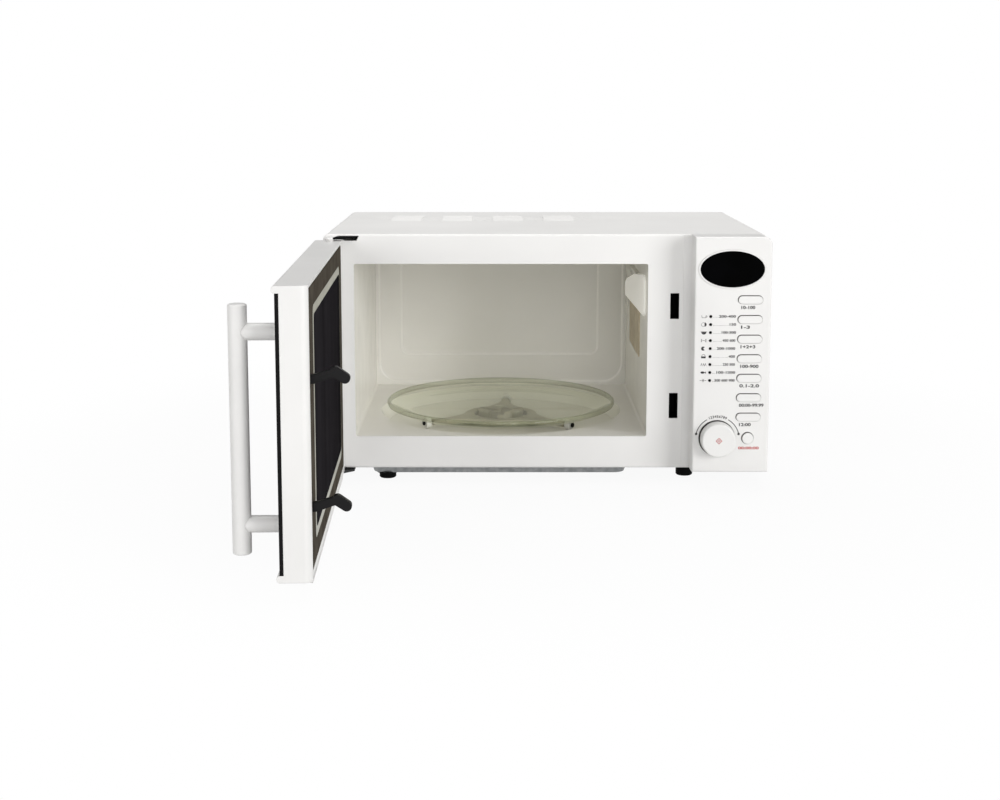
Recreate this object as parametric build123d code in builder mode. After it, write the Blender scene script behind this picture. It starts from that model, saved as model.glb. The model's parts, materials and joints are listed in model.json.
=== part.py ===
"""Free-standing microwave oven with a side-hinged door, standing open as photographed.

Frame: millimetres, +Z up, origin on the table under the middle of the body.
-Y is the front. The door hangs on the left and its free end points to -Y when open.
"""

import os
from math import cos, radians, sin

from build123d import *

os.makedirs("parts", exist_ok=True)

# Body
body_height = 258.5
bay_width = 120.0
foot_height = 15.5
foot_radius = 8.8
foot_flange = 2.5
left_foot_inset = (62.0, 25.0)
right_foot_inset = (77.0, 36.0)
sheet = 1.0
body_corner = 6.0
hem_depth = 4.0
hem_round = 2.5
frame_flange = 12.0

# Cavity
recess_radius = 134.0
recess_side = 16.0
recess_end = 13.0
opening_margin = 30.0
opening_lift = 33.5
opening_head = 30.5
opening_corner = 2.0
cavity_lip = 1.0
cavity_corner = 3.0
cavity_rear_gap = 8.0
recess_slope = 8.0
recess_depth = 14.5
spindle_hole = 6.0

# Turntable
tray_margin = 6.5
tray_slope = 27.5
tray_glass = 5.0
tray_rise = 8.5
roller_radius = 6.0
roller_width = 6.0
roller_inset = 10.0
roller_pin = 1.5
rolling_gap = 0.3
running_gap = 0.05

# Door
door_open = 88.2
door_gap = 1.0
door_thickness = 28.4
door_wall = 2.5
door_side_gap = 1.2
door_top_gap = 5.8
door_bottom_drop = 0.3
hinge_inset = 9.0
hinge_stand = 12.0
pin_radius = 3.0
pin_length = 10.5
pin_end_gap = 0.5
boss_radius = 6.0
rail_height = 6.0
rail_lip = 2.5
glass_thickness = 3.2
free_corner = 6.5
hinge_corner = 9.0

# Handle
handle_radius = 7.75
handle_length = 204.0
handle_drop = 1.0
handle_stand = 30.5
handle_inset = 30.0
post_radius = 7.0
post_spacing = 157.0

# Latch
slot_width = 9.0
slot_height = 26.5
slot_inset = 12.8
slot_spacing = 103.5
slot_drop = 1.0
hook_thickness = 5.5
hook_reach = 31.0

# Control panel
panel_width = 77.2
panel_protrusion = 29.8
panel_wall = 2.5
panel_lift = 2.9
panel_flank = 8.0
key_width = 25.0
key_height = 8.5
key_row_gap = 21.8
key_gap = 0.3
key_proud = 1.2
key_travel = 1.0
dial_radius = 17.7
dial_height = 11.5
dial_stem = 3.0
display_width = 64.5
display_height = 36.7
board_depth = 9.0

# Derived planes and limits
opening_width = 2 * (recess_radius + recess_side)
opening_height = body_height - foot_height - opening_lift - opening_head
body_width = opening_margin + opening_width + bay_width + 2 * sheet
body_depth = 2 * (recess_radius + recess_end)
half_width = body_width / 2
front_y = -body_depth / 2
back_y = body_depth / 2
frame_half = half_width - sheet
frame_top = body_height - sheet
frame_bottom = foot_height
frame_mid = (frame_top + frame_bottom) / 2
frame_back = front_y + sheet
base_bottom = foot_height + sheet
base_top = base_bottom + sheet
rear_face = back_y - sheet

opening_left = -half_width + opening_margin + sheet
opening_right = opening_left + opening_width
opening_bottom = foot_height + opening_lift
opening_top = opening_bottom + opening_height
cavity_left = opening_left - cavity_lip
cavity_right = opening_right + cavity_lip
cavity_floor_z = opening_bottom
cavity_top = opening_top + cavity_lip
cavity_back_y = rear_face - cavity_rear_gap
cavity_width = cavity_right - cavity_left
cavity_height = cavity_top - cavity_floor_z
cavity_mid_x = (cavity_left + cavity_right) / 2
cavity_mid_z = (cavity_floor_z + cavity_top) / 2
cavity_depth = cavity_back_y - frame_back
bay_left = cavity_right + sheet
bay_mid = (bay_left + frame_half) / 2

tray_radius = recess_radius - tray_margin
tray_flat = tray_radius - tray_slope
roller_circle = tray_flat - roller_inset
turn_x = cavity_mid_x
turn_y = (frame_back + cavity_back_y) / 2
recess_z = cavity_floor_z - recess_depth
roller_z = recess_z + rolling_gap + roller_radius
tray_z = roller_z + roller_radius + rolling_gap

panel_left = half_width - panel_width
panel_face = front_y - panel_protrusion
panel_inside = panel_face + panel_wall
panel_bottom = foot_height + panel_lift
panel_top = body_height
panel_mid_x = (panel_left + half_width) / 2
panel_mid_z = (panel_bottom + panel_top) / 2
board_front = panel_inside + board_depth
board_thickness = 1.6
slot_x = panel_left - panel_flank - slot_inset + slot_width / 2

hinge_x = -half_width + hinge_inset
hinge_y = front_y - hinge_stand
door_inner = hinge_stand - door_gap
door_outer = door_inner - door_thickness
glass_front = door_outer + rail_lip
glass_back = glass_front + glass_thickness
door_skin = glass_back + door_wall
door_free = panel_left - door_side_gap - hinge_x
door_left = -hinge_inset
door_bottom = foot_height - door_bottom_drop
door_top = body_height - door_top_gap
door_height = door_top - door_bottom
door_width = door_free - door_left
door_mid = (door_left + door_free) / 2
door_mid_z = (door_bottom + door_top) / 2
slot_centre = door_mid_z - slot_drop
door_angle = radians(door_open)
door_plane = Plane(
    origin=(hinge_x, hinge_y, 0),
    x_dir=(cos(door_angle), -sin(door_angle), 0),
    z_dir=(0, 0, 1),
)


def front_view(y):
    """Plane facing the front at depth y: sketch x is X, sketch y is Z, extrusion goes to -Y."""
    return Plane.XZ.offset(-y)


def side_view(x):
    """Plane facing +X: sketch x is Y, sketch y is Z."""
    return Plane.YZ.offset(x)


def top_view(z):
    """Level plane at height z."""
    return Plane.XY.offset(z)


def door_level(z):
    """Level plane of the door: sketch x runs from hinge to free end, sketch y to the cavity."""
    return door_plane.offset(z)


def door_face(depth):
    """Upright plane of the door at a depth towards the cavity; extrusion goes outwards."""
    origin = door_plane.from_local_coords((0, depth, 0))
    return Plane(origin=origin, x_dir=door_plane.x_dir, z_dir=-door_plane.y_dir)


def door_section(along):
    """Cross-section plane of the door: sketch x is depth towards the cavity, sketch y is Z."""
    origin = door_plane.from_local_coords((along, 0, 0))
    return Plane(origin=origin, x_dir=door_plane.y_dir, z_dir=door_plane.x_dir)


def save(piece, name):
    """Label a finished piece and write it."""
    piece.part.label = name
    export_step(piece.part, f"parts/{name}.step")


def box_between(x_span, y_span, z_span, mode=Mode.ADD):
    """Straight block between three pairs of limits, inside the current part."""
    spans = (x_span, y_span, z_span)
    middle = tuple((low + high) / 2 for low, high in spans)
    with Locations(middle):
        Box(*(high - low for low, high in spans), mode=mode)


# Outer wrapper with pressed louvres on the top and slots in both sides
louvre_groups = 4
louvre_rows = 7
louvre_length = 34.0
louvre_pitch_x = 57.0
louvre_pitch_y = 9.2
louvre_run = 6.5
louvre_rise = 1.8
louvre_wall = 0.8
louvre_set = 20.5
louvre_mid_x = cavity_mid_x - louvre_set
louvre_mid_y = back_y - 106.0
side_slot_length = 22.0
side_slot_width = 3.0
side_slot_columns = 3
side_slot_rows = 9
side_slot_step = 28.0
side_slot_pitch = 8.0
side_slot_mid = (back_y - 90.0, body_height - 70.0)
wrap_front = front_y + hem_depth

with BuildPart() as outer_wrapper:
    with BuildSketch(front_view(wrap_front)):
        with Locations((0, (body_height + foot_height) / 2)):
            Rectangle(body_width, body_height - foot_height)
        fillet(vertices().group_by(Axis.Y)[-1], body_corner)
    extrude(amount=wrap_front - back_y)
    with BuildSketch(front_view(wrap_front)):
        with Locations((0, (frame_top + foot_height) / 2)):
            Rectangle(2 * frame_half, frame_top - foot_height)
        fillet(vertices().group_by(Axis.Y)[-1], body_corner - sheet)
    extrude(amount=wrap_front - back_y, mode=Mode.SUBTRACT)
    louvre_starts = [
        louvre_mid_y + louvre_pitch_y * (row - louvre_rows / 2) for row in range(louvre_rows)
    ]
    for group in range(louvre_groups):
        group_left = louvre_mid_x + louvre_pitch_x * (group - (louvre_groups - 1) / 2) - louvre_length / 2
        with BuildSketch(side_view(group_left)):
            for start in louvre_starts:
                with BuildLine():
                    Polyline(
                        (start, body_height),
                        (start + louvre_run, body_height),
                        (start + louvre_run, body_height + louvre_rise),
                        close=True,
                    )
                make_face()
        extrude(amount=louvre_length)
        with BuildSketch(side_view(group_left + louvre_wall)):
            for start in louvre_starts:
                with BuildLine():
                    Polyline(
                        (start + 2 * louvre_wall, frame_top),
                        (start + louvre_run, frame_top),
                        (start + louvre_run, body_height + louvre_rise - louvre_wall),
                        (start + 2 * louvre_wall, body_height - louvre_wall / 2),
                        close=True,
                    )
                make_face()
        extrude(amount=louvre_length - 2 * louvre_wall, mode=Mode.SUBTRACT)
    with BuildSketch(side_view(-half_width)):
        with Locations(side_slot_mid):
            with GridLocations(side_slot_step, side_slot_pitch, side_slot_columns, side_slot_rows):
                Rectangle(side_slot_length, side_slot_width)
    extrude(amount=body_width, mode=Mode.SUBTRACT)
save(outer_wrapper, "outer_wrapper")

# Front frame: pressed face with a rounded hem and flanges turned back under the wrapper
notch_width = 21.0
notch_left = hinge_x + 6.5
notch_depth = 5.0
notch_slant = (7.5, 2.3)
hinge_plate = 2.0
hinge_plate_top = frame_top - sheet
notch_top = hinge_plate_top + rolling_gap
cable_hole = (24.0, 40.0)

with BuildPart() as front_frame:
    with BuildSketch(front_view(front_y)):
        with Locations((0, (body_height + frame_bottom) / 2)):
            Rectangle(body_width, body_height - frame_bottom)
        fillet(vertices().group_by(Axis.Y)[-1], body_corner)
    extrude(amount=-hem_depth)
    fillet(faces().sort_by(Axis.Y)[0].edges(), hem_round)
    with BuildSketch(front_view(wrap_front)):
        with Locations((0, frame_mid)):
            Rectangle(2 * frame_half, frame_top - frame_bottom)
        fillet(vertices().group_by(Axis.Y)[-1], body_corner - sheet)
    extrude(amount=hem_depth - frame_flange)
    with BuildSketch(front_view(frame_back)):
        with Locations((0, frame_mid)):
            Rectangle(2 * (frame_half - sheet), frame_top - frame_bottom - 2 * sheet)
        fillet(vertices().group_by(Axis.Y)[-1], body_corner - 2 * sheet)
    extrude(amount=-frame_flange, mode=Mode.SUBTRACT)
    with BuildSketch(front_view(front_y)):
        with Locations(((opening_left + opening_right) / 2, (opening_bottom + opening_top) / 2)):
            RectangleRounded(opening_width, opening_height, opening_corner)
        with Locations((slot_x, slot_centre)):
            with GridLocations(slot_width, slot_spacing, 1, 2):
                Rectangle(slot_width, slot_height)
        with Locations((panel_mid_x, panel_mid_z)):
            RectangleRounded(*cable_hole, opening_corner)
        with BuildLine():
            Polyline(
                (notch_left, notch_top),
                (notch_left + notch_width, notch_top),
                (notch_left + notch_width - notch_slant[1], notch_top - notch_depth),
                (notch_left + notch_slant[0], notch_top - notch_depth),
                (notch_left, notch_top - hinge_plate - 2 * rolling_gap),
                close=True,
            )
        make_face()
    extrude(amount=-sheet, mode=Mode.SUBTRACT)
save(front_frame, "front_frame")

# Cavity: a bent wrap for the walls and ceiling, a floor with a round recess, an embossed back
mica_front = front_y + 97.0
mica_length = 121.0
mica_lift_share = 0.3667
mica_height_share = 0.2722
mica_bottom = cavity_floor_z + cavity_height * mica_lift_share
mica_height = cavity_height * mica_height_share
mica_sheet = 0.8
port_margin = 8.0
lamp_hole = 11.0
lamp_x = cavity_right - 35.0
lamp_y = front_y + 60.0
heater_radius = 3.25
heater_drop = 8.0
heater_reach = 250.0
heater_spread = 100.0
heater_bend = 30.0
heater_z = cavity_top - heater_drop
heater_tail = 14.0
field_gap = 11.0
field_front = mica_front + 8.0
field_length = mica_length - 20.0
field_bottom = mica_bottom + mica_height + field_gap
field_top = heater_z - heater_radius - field_gap
field_rise = 3.0
field_corner_share = 0.19
field_taper = 30.0
field_mid = (field_front + field_length / 2, (field_bottom + field_top) / 2)
field_size = (field_length, field_top - field_bottom)
field_corner = field_size[1] * field_corner_share
light_hole = 1.6
light_hole_share = 0.283
light_hole_step = field_size[1] * light_hole_share
light_hole_columns = 7
light_hole_rows = 3


def cavity_outline(grow):
    """Rounded cavity section, grown outwards by a sheet's thickness or not at all."""
    with Locations((cavity_mid_x, cavity_mid_z)):
        RectangleRounded(cavity_width + 2 * grow, cavity_height + 2 * grow, cavity_corner + grow)


def below_walls(mode):
    """Everything under the line where the floor's rounded sides meet the walls."""
    with Locations((cavity_mid_x, cavity_floor_z)):
        Rectangle(cavity_width + 4 * sheet, 2 * cavity_corner, mode=mode)


with BuildPart() as cavity_wrap:
    with BuildSketch(front_view(frame_back)):
        cavity_outline(sheet)
        with BuildSketch(mode=Mode.SUBTRACT):
            cavity_outline(0)
        below_walls(Mode.SUBTRACT)
    extrude(amount=-cavity_depth)
    with BuildSketch(side_view(cavity_right)):
        with Locations((mica_front + mica_length / 2, mica_bottom + mica_height / 2)):
            Rectangle(mica_length - 2 * port_margin, mica_height - 2 * port_margin)
    extrude(amount=sheet, mode=Mode.SUBTRACT)
    with BuildSketch(side_view(cavity_right)):
        with Locations(field_mid):
            RectangleRounded(*field_size, field_corner)
    extrude(amount=-field_rise, taper=field_taper)
    with BuildSketch(side_view(cavity_right + sheet)):
        with Locations(field_mid):
            RectangleRounded(field_size[0] - 2 * sheet, field_size[1] - 2 * sheet, field_corner - sheet)
    extrude(amount=-field_rise, taper=field_taper, mode=Mode.SUBTRACT)
    with BuildSketch(side_view(cavity_right)):
        with Locations(field_mid):
            with GridLocations(light_hole_step, light_hole_step, light_hole_columns, light_hole_rows):
                Circle(light_hole)
    extrude(amount=-field_rise, mode=Mode.SUBTRACT)
    with BuildSketch(side_view(cavity_right - cavity_corner)):
        with Locations((turn_y, heater_z)):
            with GridLocations(heater_spread, 1, 2, 1):
                Circle(heater_radius + rolling_gap)
    extrude(amount=cavity_corner + sheet, mode=Mode.SUBTRACT)
    with BuildSketch(top_view(cavity_top)):
        with Locations((lamp_x, lamp_y)):
            Circle(lamp_hole)
    extrude(amount=sheet, mode=Mode.SUBTRACT)
save(cavity_wrap, "cavity_wrap")

with BuildPart() as cavity_floor:
    with BuildSketch(front_view(frame_back)):
        cavity_outline(sheet)
        with BuildSketch(mode=Mode.SUBTRACT):
            cavity_outline(0)
        below_walls(Mode.INTERSECT)
    extrude(amount=-cavity_depth)
    with BuildSketch(top_view(cavity_floor_z)):
        with Locations((turn_x, turn_y)):
            Circle(recess_radius)
    extrude(amount=-sheet, mode=Mode.SUBTRACT)
    with BuildSketch(front_view(turn_y)):
        with BuildLine():
            Polyline(
                (turn_x + spindle_hole, recess_z),
                (turn_x + recess_radius - recess_slope, recess_z),
                (turn_x + recess_radius, cavity_floor_z),
                (turn_x + recess_radius, cavity_floor_z - sheet),
                (turn_x + recess_radius - recess_slope + sheet / 2, recess_z - sheet),
                (turn_x + spindle_hole, recess_z - sheet),
                close=True,
            )
        make_face()
    revolve(axis=Axis((turn_x, turn_y, 0), (0, 0, 1)))
save(cavity_floor, "cavity_floor")

emboss_depth = 3.0
emboss_left = cavity_left + 30.0
emboss_right = cavity_right - 33.0
emboss_bottom = cavity_floor_z + 36.5
emboss_top = cavity_top - 25.0
emboss_corner = 10.0
emboss_taper = 30.0
emboss_mid = ((emboss_left + emboss_right) / 2, (emboss_bottom + emboss_top) / 2)
emboss_size = (emboss_right - emboss_left, emboss_top - emboss_bottom)
step_inset = 2.5
step_corner = 24.0
step_depth = 1.5
step_size = (cavity_width - 2 * step_inset, cavity_height - 2 * step_inset)
step_face = cavity_back_y - step_depth

with BuildPart() as cavity_back:
    with BuildSketch(front_view(cavity_back_y)):
        cavity_outline(sheet)
    extrude(amount=-sheet)
    with BuildSketch(front_view(cavity_back_y)):
        with Locations((cavity_mid_x, cavity_mid_z)):
            RectangleRounded(*step_size, step_corner)
    extrude(amount=step_depth, taper=emboss_taper)
    with BuildSketch(front_view(step_face)):
        with Locations(emboss_mid):
            RectangleRounded(*emboss_size, emboss_corner)
    extrude(amount=emboss_depth, taper=emboss_taper)
    with BuildSketch(front_view(cavity_back_y + sheet)):
        with Locations((cavity_mid_x, cavity_mid_z)):
            RectangleRounded(step_size[0] - 2 * sheet, step_size[1] - 2 * sheet, step_corner - sheet)
    extrude(amount=step_depth, taper=emboss_taper, mode=Mode.SUBTRACT)
    with BuildSketch(front_view(step_face + sheet)):
        with Locations(emboss_mid):
            RectangleRounded(emboss_size[0] - 2 * sheet, emboss_size[1] - 2 * sheet, emboss_corner - sheet)
    extrude(amount=emboss_depth, taper=emboss_taper, mode=Mode.SUBTRACT)
save(cavity_back, "cavity_back")

# Base plate with a deep emboss and upturned sides
pan_drop = 9.6
pan_taper = 20.0
pan_left = -half_width + 44.0
pan_inset = 18.0
pan_right = cavity_right - pan_inset
pan_front = front_y + frame_flange + rolling_gap
pan_back = back_y - frame_flange - rolling_gap
pan_corner = 15.0
pan_mid = ((pan_left + pan_right) / 2, (pan_front + pan_back) / 2)
pan_size = (pan_right - pan_left, pan_back - pan_front)
base_upturn = 10.0
intake_step = (26.0, 8.0)
intake_columns = 2
intake_rows = 5
intake_inset = (36.0, 45.0)
intake_slot = (22.0, 3.2)
intake_mid = (half_width - intake_inset[0], back_y - intake_inset[1])

with BuildPart() as base_plate:
    plate_half = frame_half - sheet
    box_between((-plate_half, plate_half), (frame_back, rear_face), (base_bottom, base_top))
    for low_x in (-frame_half, plate_half):
        box_between(
            (low_x, low_x + sheet),
            (front_y + frame_flange, rear_face),
            (base_bottom, base_top + base_upturn),
        )
    with BuildSketch(top_view(base_bottom)):
        with Locations(pan_mid):
            RectangleRounded(*pan_size, pan_corner)
    extrude(amount=-pan_drop, taper=pan_taper)
    with BuildSketch(top_view(base_top)):
        with Locations(pan_mid):
            RectangleRounded(pan_size[0] - 2 * sheet, pan_size[1] - 2 * sheet, pan_corner - sheet)
    extrude(amount=-pan_drop, taper=pan_taper, mode=Mode.SUBTRACT)
    with BuildSketch(top_view(base_top)):
        with Locations(intake_mid):
            with GridLocations(*intake_step, intake_columns, intake_rows):
                SlotOverall(*intake_slot)
    extrude(amount=-sheet, mode=Mode.SUBTRACT)
save(base_plate, "base_plate")

# Feet: turned rubber feet with a waist and a stepped sole
foot_round = 1.0
foot_steps = (0.7, 0.85)
foot_rows = (
    (-1, left_foot_inset, base_bottom - pan_drop),
    (1, right_foot_inset, base_bottom),
)
foot_sites = [
    (side * (half_width - inset[0]), end * (body_depth / 2 - inset[1]), seat)
    for side, inset, seat in foot_rows
    for end in (-1, 1)
]

with BuildPart() as feet:
    for foot_x, foot_y, seat in foot_sites:
        with BuildSketch(front_view(foot_y)):
            with BuildLine():
                Polyline(
                    (foot_x, 0),
                    (foot_x + foot_radius - foot_round, 0),
                    (foot_x + foot_radius, foot_round),
                    (foot_x + foot_radius, seat * foot_steps[0]),
                    (foot_x + foot_radius + foot_flange, seat * foot_steps[1]),
                    (foot_x + foot_radius + foot_flange, seat),
                    (foot_x, seat),
                    close=True,
                )
            make_face()
        revolve(axis=Axis((foot_x, foot_y, 0), (0, 0, 1)))
save(feet, "feet")

# Back panel with the fan intake, an exhaust field, screw holes and the cord inlet hole
fan_radius = 47.0
fan_tip_gap = 2.0
fan_x = bay_mid
fan_z = frame_top - 70.0
inlet_radius = 8.0
inlet_x = bay_left + 20.0
inlet_z = base_top + 40.0
screw_radius = 2.0
screw_head = 3.6
screw_rise = 2.2
screw_inset = 4.5
screw_end_gap = 25.0
intake_rings = (0.3, 0.55, 0.8)
intake_share = 30
intake_hole = (9.0, 4.0)
exhaust_step = (30.0, 10.0)
exhaust_columns = 6
exhaust_rows = 3
exhaust_slot = (22.0, 4.0)
exhaust_mid = (cavity_mid_x, frame_top - 45.0)
screw_sites = [
    (side * (frame_half - screw_inset), height)
    for side in (-1, 1)
    for height in (base_top + screw_end_gap, frame_mid, frame_top - screw_end_gap)
] + [(side * frame_half / 3, frame_top - screw_inset) for side in (-1, 1)]

with BuildPart() as back_panel:
    with BuildSketch(front_view(rear_face)):
        with Locations((0, (base_bottom + frame_top) / 2)):
            Rectangle(2 * frame_half, frame_top - base_bottom)
        fillet(vertices().group_by(Axis.Y)[-1], body_corner - sheet)
        for ring in intake_rings:
            with Locations((fan_x, fan_z)):
                with PolarLocations(fan_radius * ring, round(intake_share * ring)):
                    SlotOverall(*intake_hole, rotation=90, mode=Mode.SUBTRACT)
        with Locations(exhaust_mid):
            with GridLocations(*exhaust_step, exhaust_columns, exhaust_rows):
                SlotOverall(*exhaust_slot, mode=Mode.SUBTRACT)
        with Locations((inlet_x, inlet_z)):
            Circle(inlet_radius, mode=Mode.SUBTRACT)
        with Locations(*screw_sites):
            Circle(screw_radius, mode=Mode.SUBTRACT)
    extrude(amount=-sheet)
save(back_panel, "back_panel")

with BuildPart() as cover_screws:
    for site in screw_sites:
        with BuildSketch(front_view(back_y)):
            with Locations(site):
                Circle(screw_head)
        extrude(amount=-screw_rise)
        with BuildSketch(front_view(back_y)):
            with Locations(site):
                Circle(screw_radius - running_gap)
        extrude(amount=3 * sheet)
save(cover_screws, "cover_screws")

inlet_bore = inlet_radius - 3.0
inlet_collar = 3.0

with BuildPart() as cord_inlet:
    with BuildSketch(front_view(rear_face)):
        with Locations((inlet_x, inlet_z)):
            Circle(inlet_radius + inlet_collar)
            Circle(inlet_bore, mode=Mode.SUBTRACT)
    extrude(amount=inlet_collar)
    with BuildSketch(front_view(rear_face)):
        with Locations((inlet_x, inlet_z)):
            Circle(inlet_radius - running_gap)
            Circle(inlet_bore, mode=Mode.SUBTRACT)
    extrude(amount=-sheet)
    with BuildSketch(front_view(back_y)):
        with Locations((inlet_x, inlet_z)):
            Circle(inlet_radius + inlet_collar)
            Circle(inlet_bore, mode=Mode.SUBTRACT)
    extrude(amount=-inlet_collar)
save(cord_inlet, "cord_inlet")

# Mica sheet over the waveguide port, with two retaining ears
mica_corner = 3.0
ear_width = 14.0
ear_height = 8.0

with BuildPart() as waveguide_cover:
    with BuildSketch(side_view(cavity_right)):
        with Locations((mica_front + mica_length / 2, mica_bottom + mica_height / 2)):
            RectangleRounded(mica_length, mica_height, mica_corner)
            with Locations((-mica_length / 4, mica_height / 2), (mica_length / 4, mica_height / 2)):
                Rectangle(ear_width, ear_height)
    extrude(amount=-mica_sheet)
save(waveguide_cover, "waveguide_cover")

# Waveguide: folded sheet box from the port up to the magnetron
guide_width = 32.0
guide_inset = 6.0
guide_front = mica_front + guide_inset
guide_length = mica_length - 2 * guide_inset
guide_bottom = mica_bottom - 2.0
guide_height = 98.0
magnetron_y = guide_front + guide_length / 2
magnetron_z = guide_bottom + guide_height - 40.0
antenna_radius = 9.0
antenna_clear = 1.0
antenna_gap = 8.0
antenna_round = 4.0
guide_outer = bay_left + guide_width

with BuildPart() as waveguide:
    box_between(
        (bay_left, guide_outer),
        (guide_front, guide_front + guide_length),
        (guide_bottom, guide_bottom + guide_height),
    )
    box_between(
        (bay_left, guide_outer - sheet),
        (guide_front + sheet, guide_front + guide_length - sheet),
        (guide_bottom + sheet, guide_bottom + guide_height - sheet),
        mode=Mode.SUBTRACT,
    )
    with BuildSketch(side_view(guide_outer)):
        with Locations((magnetron_y, magnetron_z)):
            Circle(antenna_radius + antenna_clear)
    extrude(amount=-sheet, mode=Mode.SUBTRACT)
save(waveguide, "waveguide")

# Magnetron: yoke, cooling fins on the anode, filter box and antenna
yoke_length = 52.0
yoke_width = 84.0
yoke_height = 66.0
yoke_wall = 2.0
fin_count = 6
fin_sheet = 0.8
fin_inset = 4.0
anode_radius = 19.0
filter_box = (24.0, 56.0, 44.0)

with BuildPart() as magnetron:
    with BuildSketch(side_view(guide_outer)):
        with Locations((magnetron_y, magnetron_z)):
            Rectangle(yoke_width, yoke_height)
            Rectangle(yoke_width, yoke_height - 2 * yoke_wall, mode=Mode.SUBTRACT)
    extrude(amount=yoke_length)
    for wall_x in (guide_outer, guide_outer + yoke_length - yoke_wall):
        with BuildSketch(side_view(wall_x)):
            with Locations((magnetron_y, magnetron_z)):
                Rectangle(yoke_width, yoke_height)
        extrude(amount=yoke_wall)
    with BuildSketch(side_view(guide_outer)):
        with Locations((magnetron_y, magnetron_z)):
            Circle(anode_radius)
    extrude(amount=yoke_length)
    fin_pitch = (yoke_length - 2 * yoke_wall) / (fin_count + 1)
    for fin in range(fin_count):
        with BuildSketch(side_view(guide_outer + yoke_wall + fin_pitch * (fin + 1))):
            with Locations((magnetron_y, magnetron_z)):
                Rectangle(yoke_width - 2 * fin_inset, yoke_height)
        extrude(amount=fin_sheet)
    with BuildSketch(side_view(guide_outer + yoke_length)):
        with Locations((magnetron_y, magnetron_z)):
            Rectangle(filter_box[1], filter_box[2])
    extrude(amount=filter_box[0])
    with BuildSketch(side_view(guide_outer)):
        with Locations((magnetron_y, magnetron_z)):
            Circle(antenna_radius)
    extrude(amount=antenna_gap - guide_width)
    fillet(faces().sort_by(Axis.X)[0].edges(), antenna_round)
save(magnetron, "magnetron")

# High-voltage transformer: laminated core with two windows, and two windings round the middle leg
core_width = 90.0
core_height = 72.0
core_stack = 54.0
core_leg = 28.0
core_yoke = 15.0
window_width = 16.0
winding_gap = 0.3
lug_length = 20.0
lug_width = 12.0
lug_sheet = 2.0
lug_reach = 8.0
lug_inset = 10.0
transformer_set = 18.0
transformer_y = turn_y - transformer_set
core_window = core_height - 2 * core_yoke
core_z = base_top + core_height / 2

with BuildPart() as transformer_core:
    with BuildSketch(side_view(bay_mid - core_stack / 2)):
        with Locations((transformer_y, core_z)):
            Rectangle(core_width, core_height)
            with GridLocations(core_leg + window_width, 1, 2, 1):
                Rectangle(window_width, core_window, mode=Mode.SUBTRACT)
    extrude(amount=core_stack)
    with BuildSketch(top_view(base_top)):
        with Locations((bay_mid, transformer_y)):
            with GridLocations(core_stack + 2 * lug_reach, core_width - 2 * lug_inset, 2, 2):
                SlotOverall(lug_length, lug_width)
    extrude(amount=lug_sheet)
save(transformer_core, "transformer_core")

with BuildPart() as transformer_windings:
    coil_height = core_window / 2 - 2 * winding_gap
    for level in (-1, 1):
        coil_bottom = core_z + level * core_window / 4 - coil_height / 2
        with BuildSketch(top_view(coil_bottom)):
            with Locations((bay_mid, transformer_y)):
                RectangleRounded(
                    core_stack + 2 * window_width,
                    core_leg + 2 * (window_width - winding_gap),
                    window_width / 2,
                )
                Rectangle(core_stack + 2 * winding_gap, core_leg + 2 * winding_gap, mode=Mode.SUBTRACT)
        extrude(amount=coil_height)
save(transformer_windings, "transformer_windings")

# Capacitor can on its side in a strap clamp
can_width = 52.0
can_height = 34.0
can_length = 78.0
can_round = 2.0
can_gap = 16.0
can_front = transformer_y + core_width / 2 + can_gap
can_x = bay_mid - 12.0
terminal_spacing = 18.0
terminal_radius = 5.0
terminal_length = 6.0
strap = 1.5
strap_width = 14.0
strap_foot = 44.0
strap_offset = 4.0
can_z = base_top + strap + can_height / 2 + winding_gap

with BuildPart() as capacitor:
    with BuildSketch(front_view(can_front)):
        with Locations((can_x, can_z)):
            SlotOverall(can_width, can_height)
    extrude(amount=-can_length)
    fillet(edges().group_by(Axis.Y)[0] + edges().group_by(Axis.Y)[-1], can_round)
    with BuildSketch(front_view(can_front)):
        with Locations((can_x, can_z)):
            with GridLocations(terminal_spacing, 1, 2, 1):
                Circle(terminal_radius)
    extrude(amount=terminal_length)
save(capacitor, "capacitor")

with BuildPart() as capacitor_clamp:
    with BuildSketch(front_view(can_front + can_length / 2 - strap_width / 2)):
        with Locations((can_x, can_z)):
            SlotOverall(can_width + 2 * (strap + winding_gap), can_height + 2 * (strap + winding_gap))
            SlotOverall(can_width + 2 * winding_gap, can_height + 2 * winding_gap, mode=Mode.SUBTRACT)
        with Locations((can_x + can_width / 2 + strap_offset, base_top + strap / 2)):
            Rectangle(strap_foot, strap)
    extrude(amount=-strap_width)
save(capacitor_clamp, "capacitor_clamp")

# Cooling fan: shroud on the back panel, blade with its shaft, motor on the shroud's arms
shroud_depth = 44.0
shroud_wall = 2.0
shroud_half = fan_radius + fan_tip_gap + 3.0
shroud_corner = 8.0
fan_shaft = 2.5
motor_front = rear_face - 24.0
motor_floor = 2.0
motor_corner = 4.0
motor_coil = (26.0, 24.0, 16.0)
coil_corner = 5.0
coil_set = 4.0
shaft_rest = 6.0
blade_back = motor_front - 4.0
blade_depth = 14.0
blade_count = 5
blade_sheet = 1.6
hub_radius = 12.0
blade_stations = ((hub_radius - 2, 14, 40), (fan_radius * 0.65, 26, 28), (fan_radius - 1, 30, 20))
motor_half = 21.0

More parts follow.
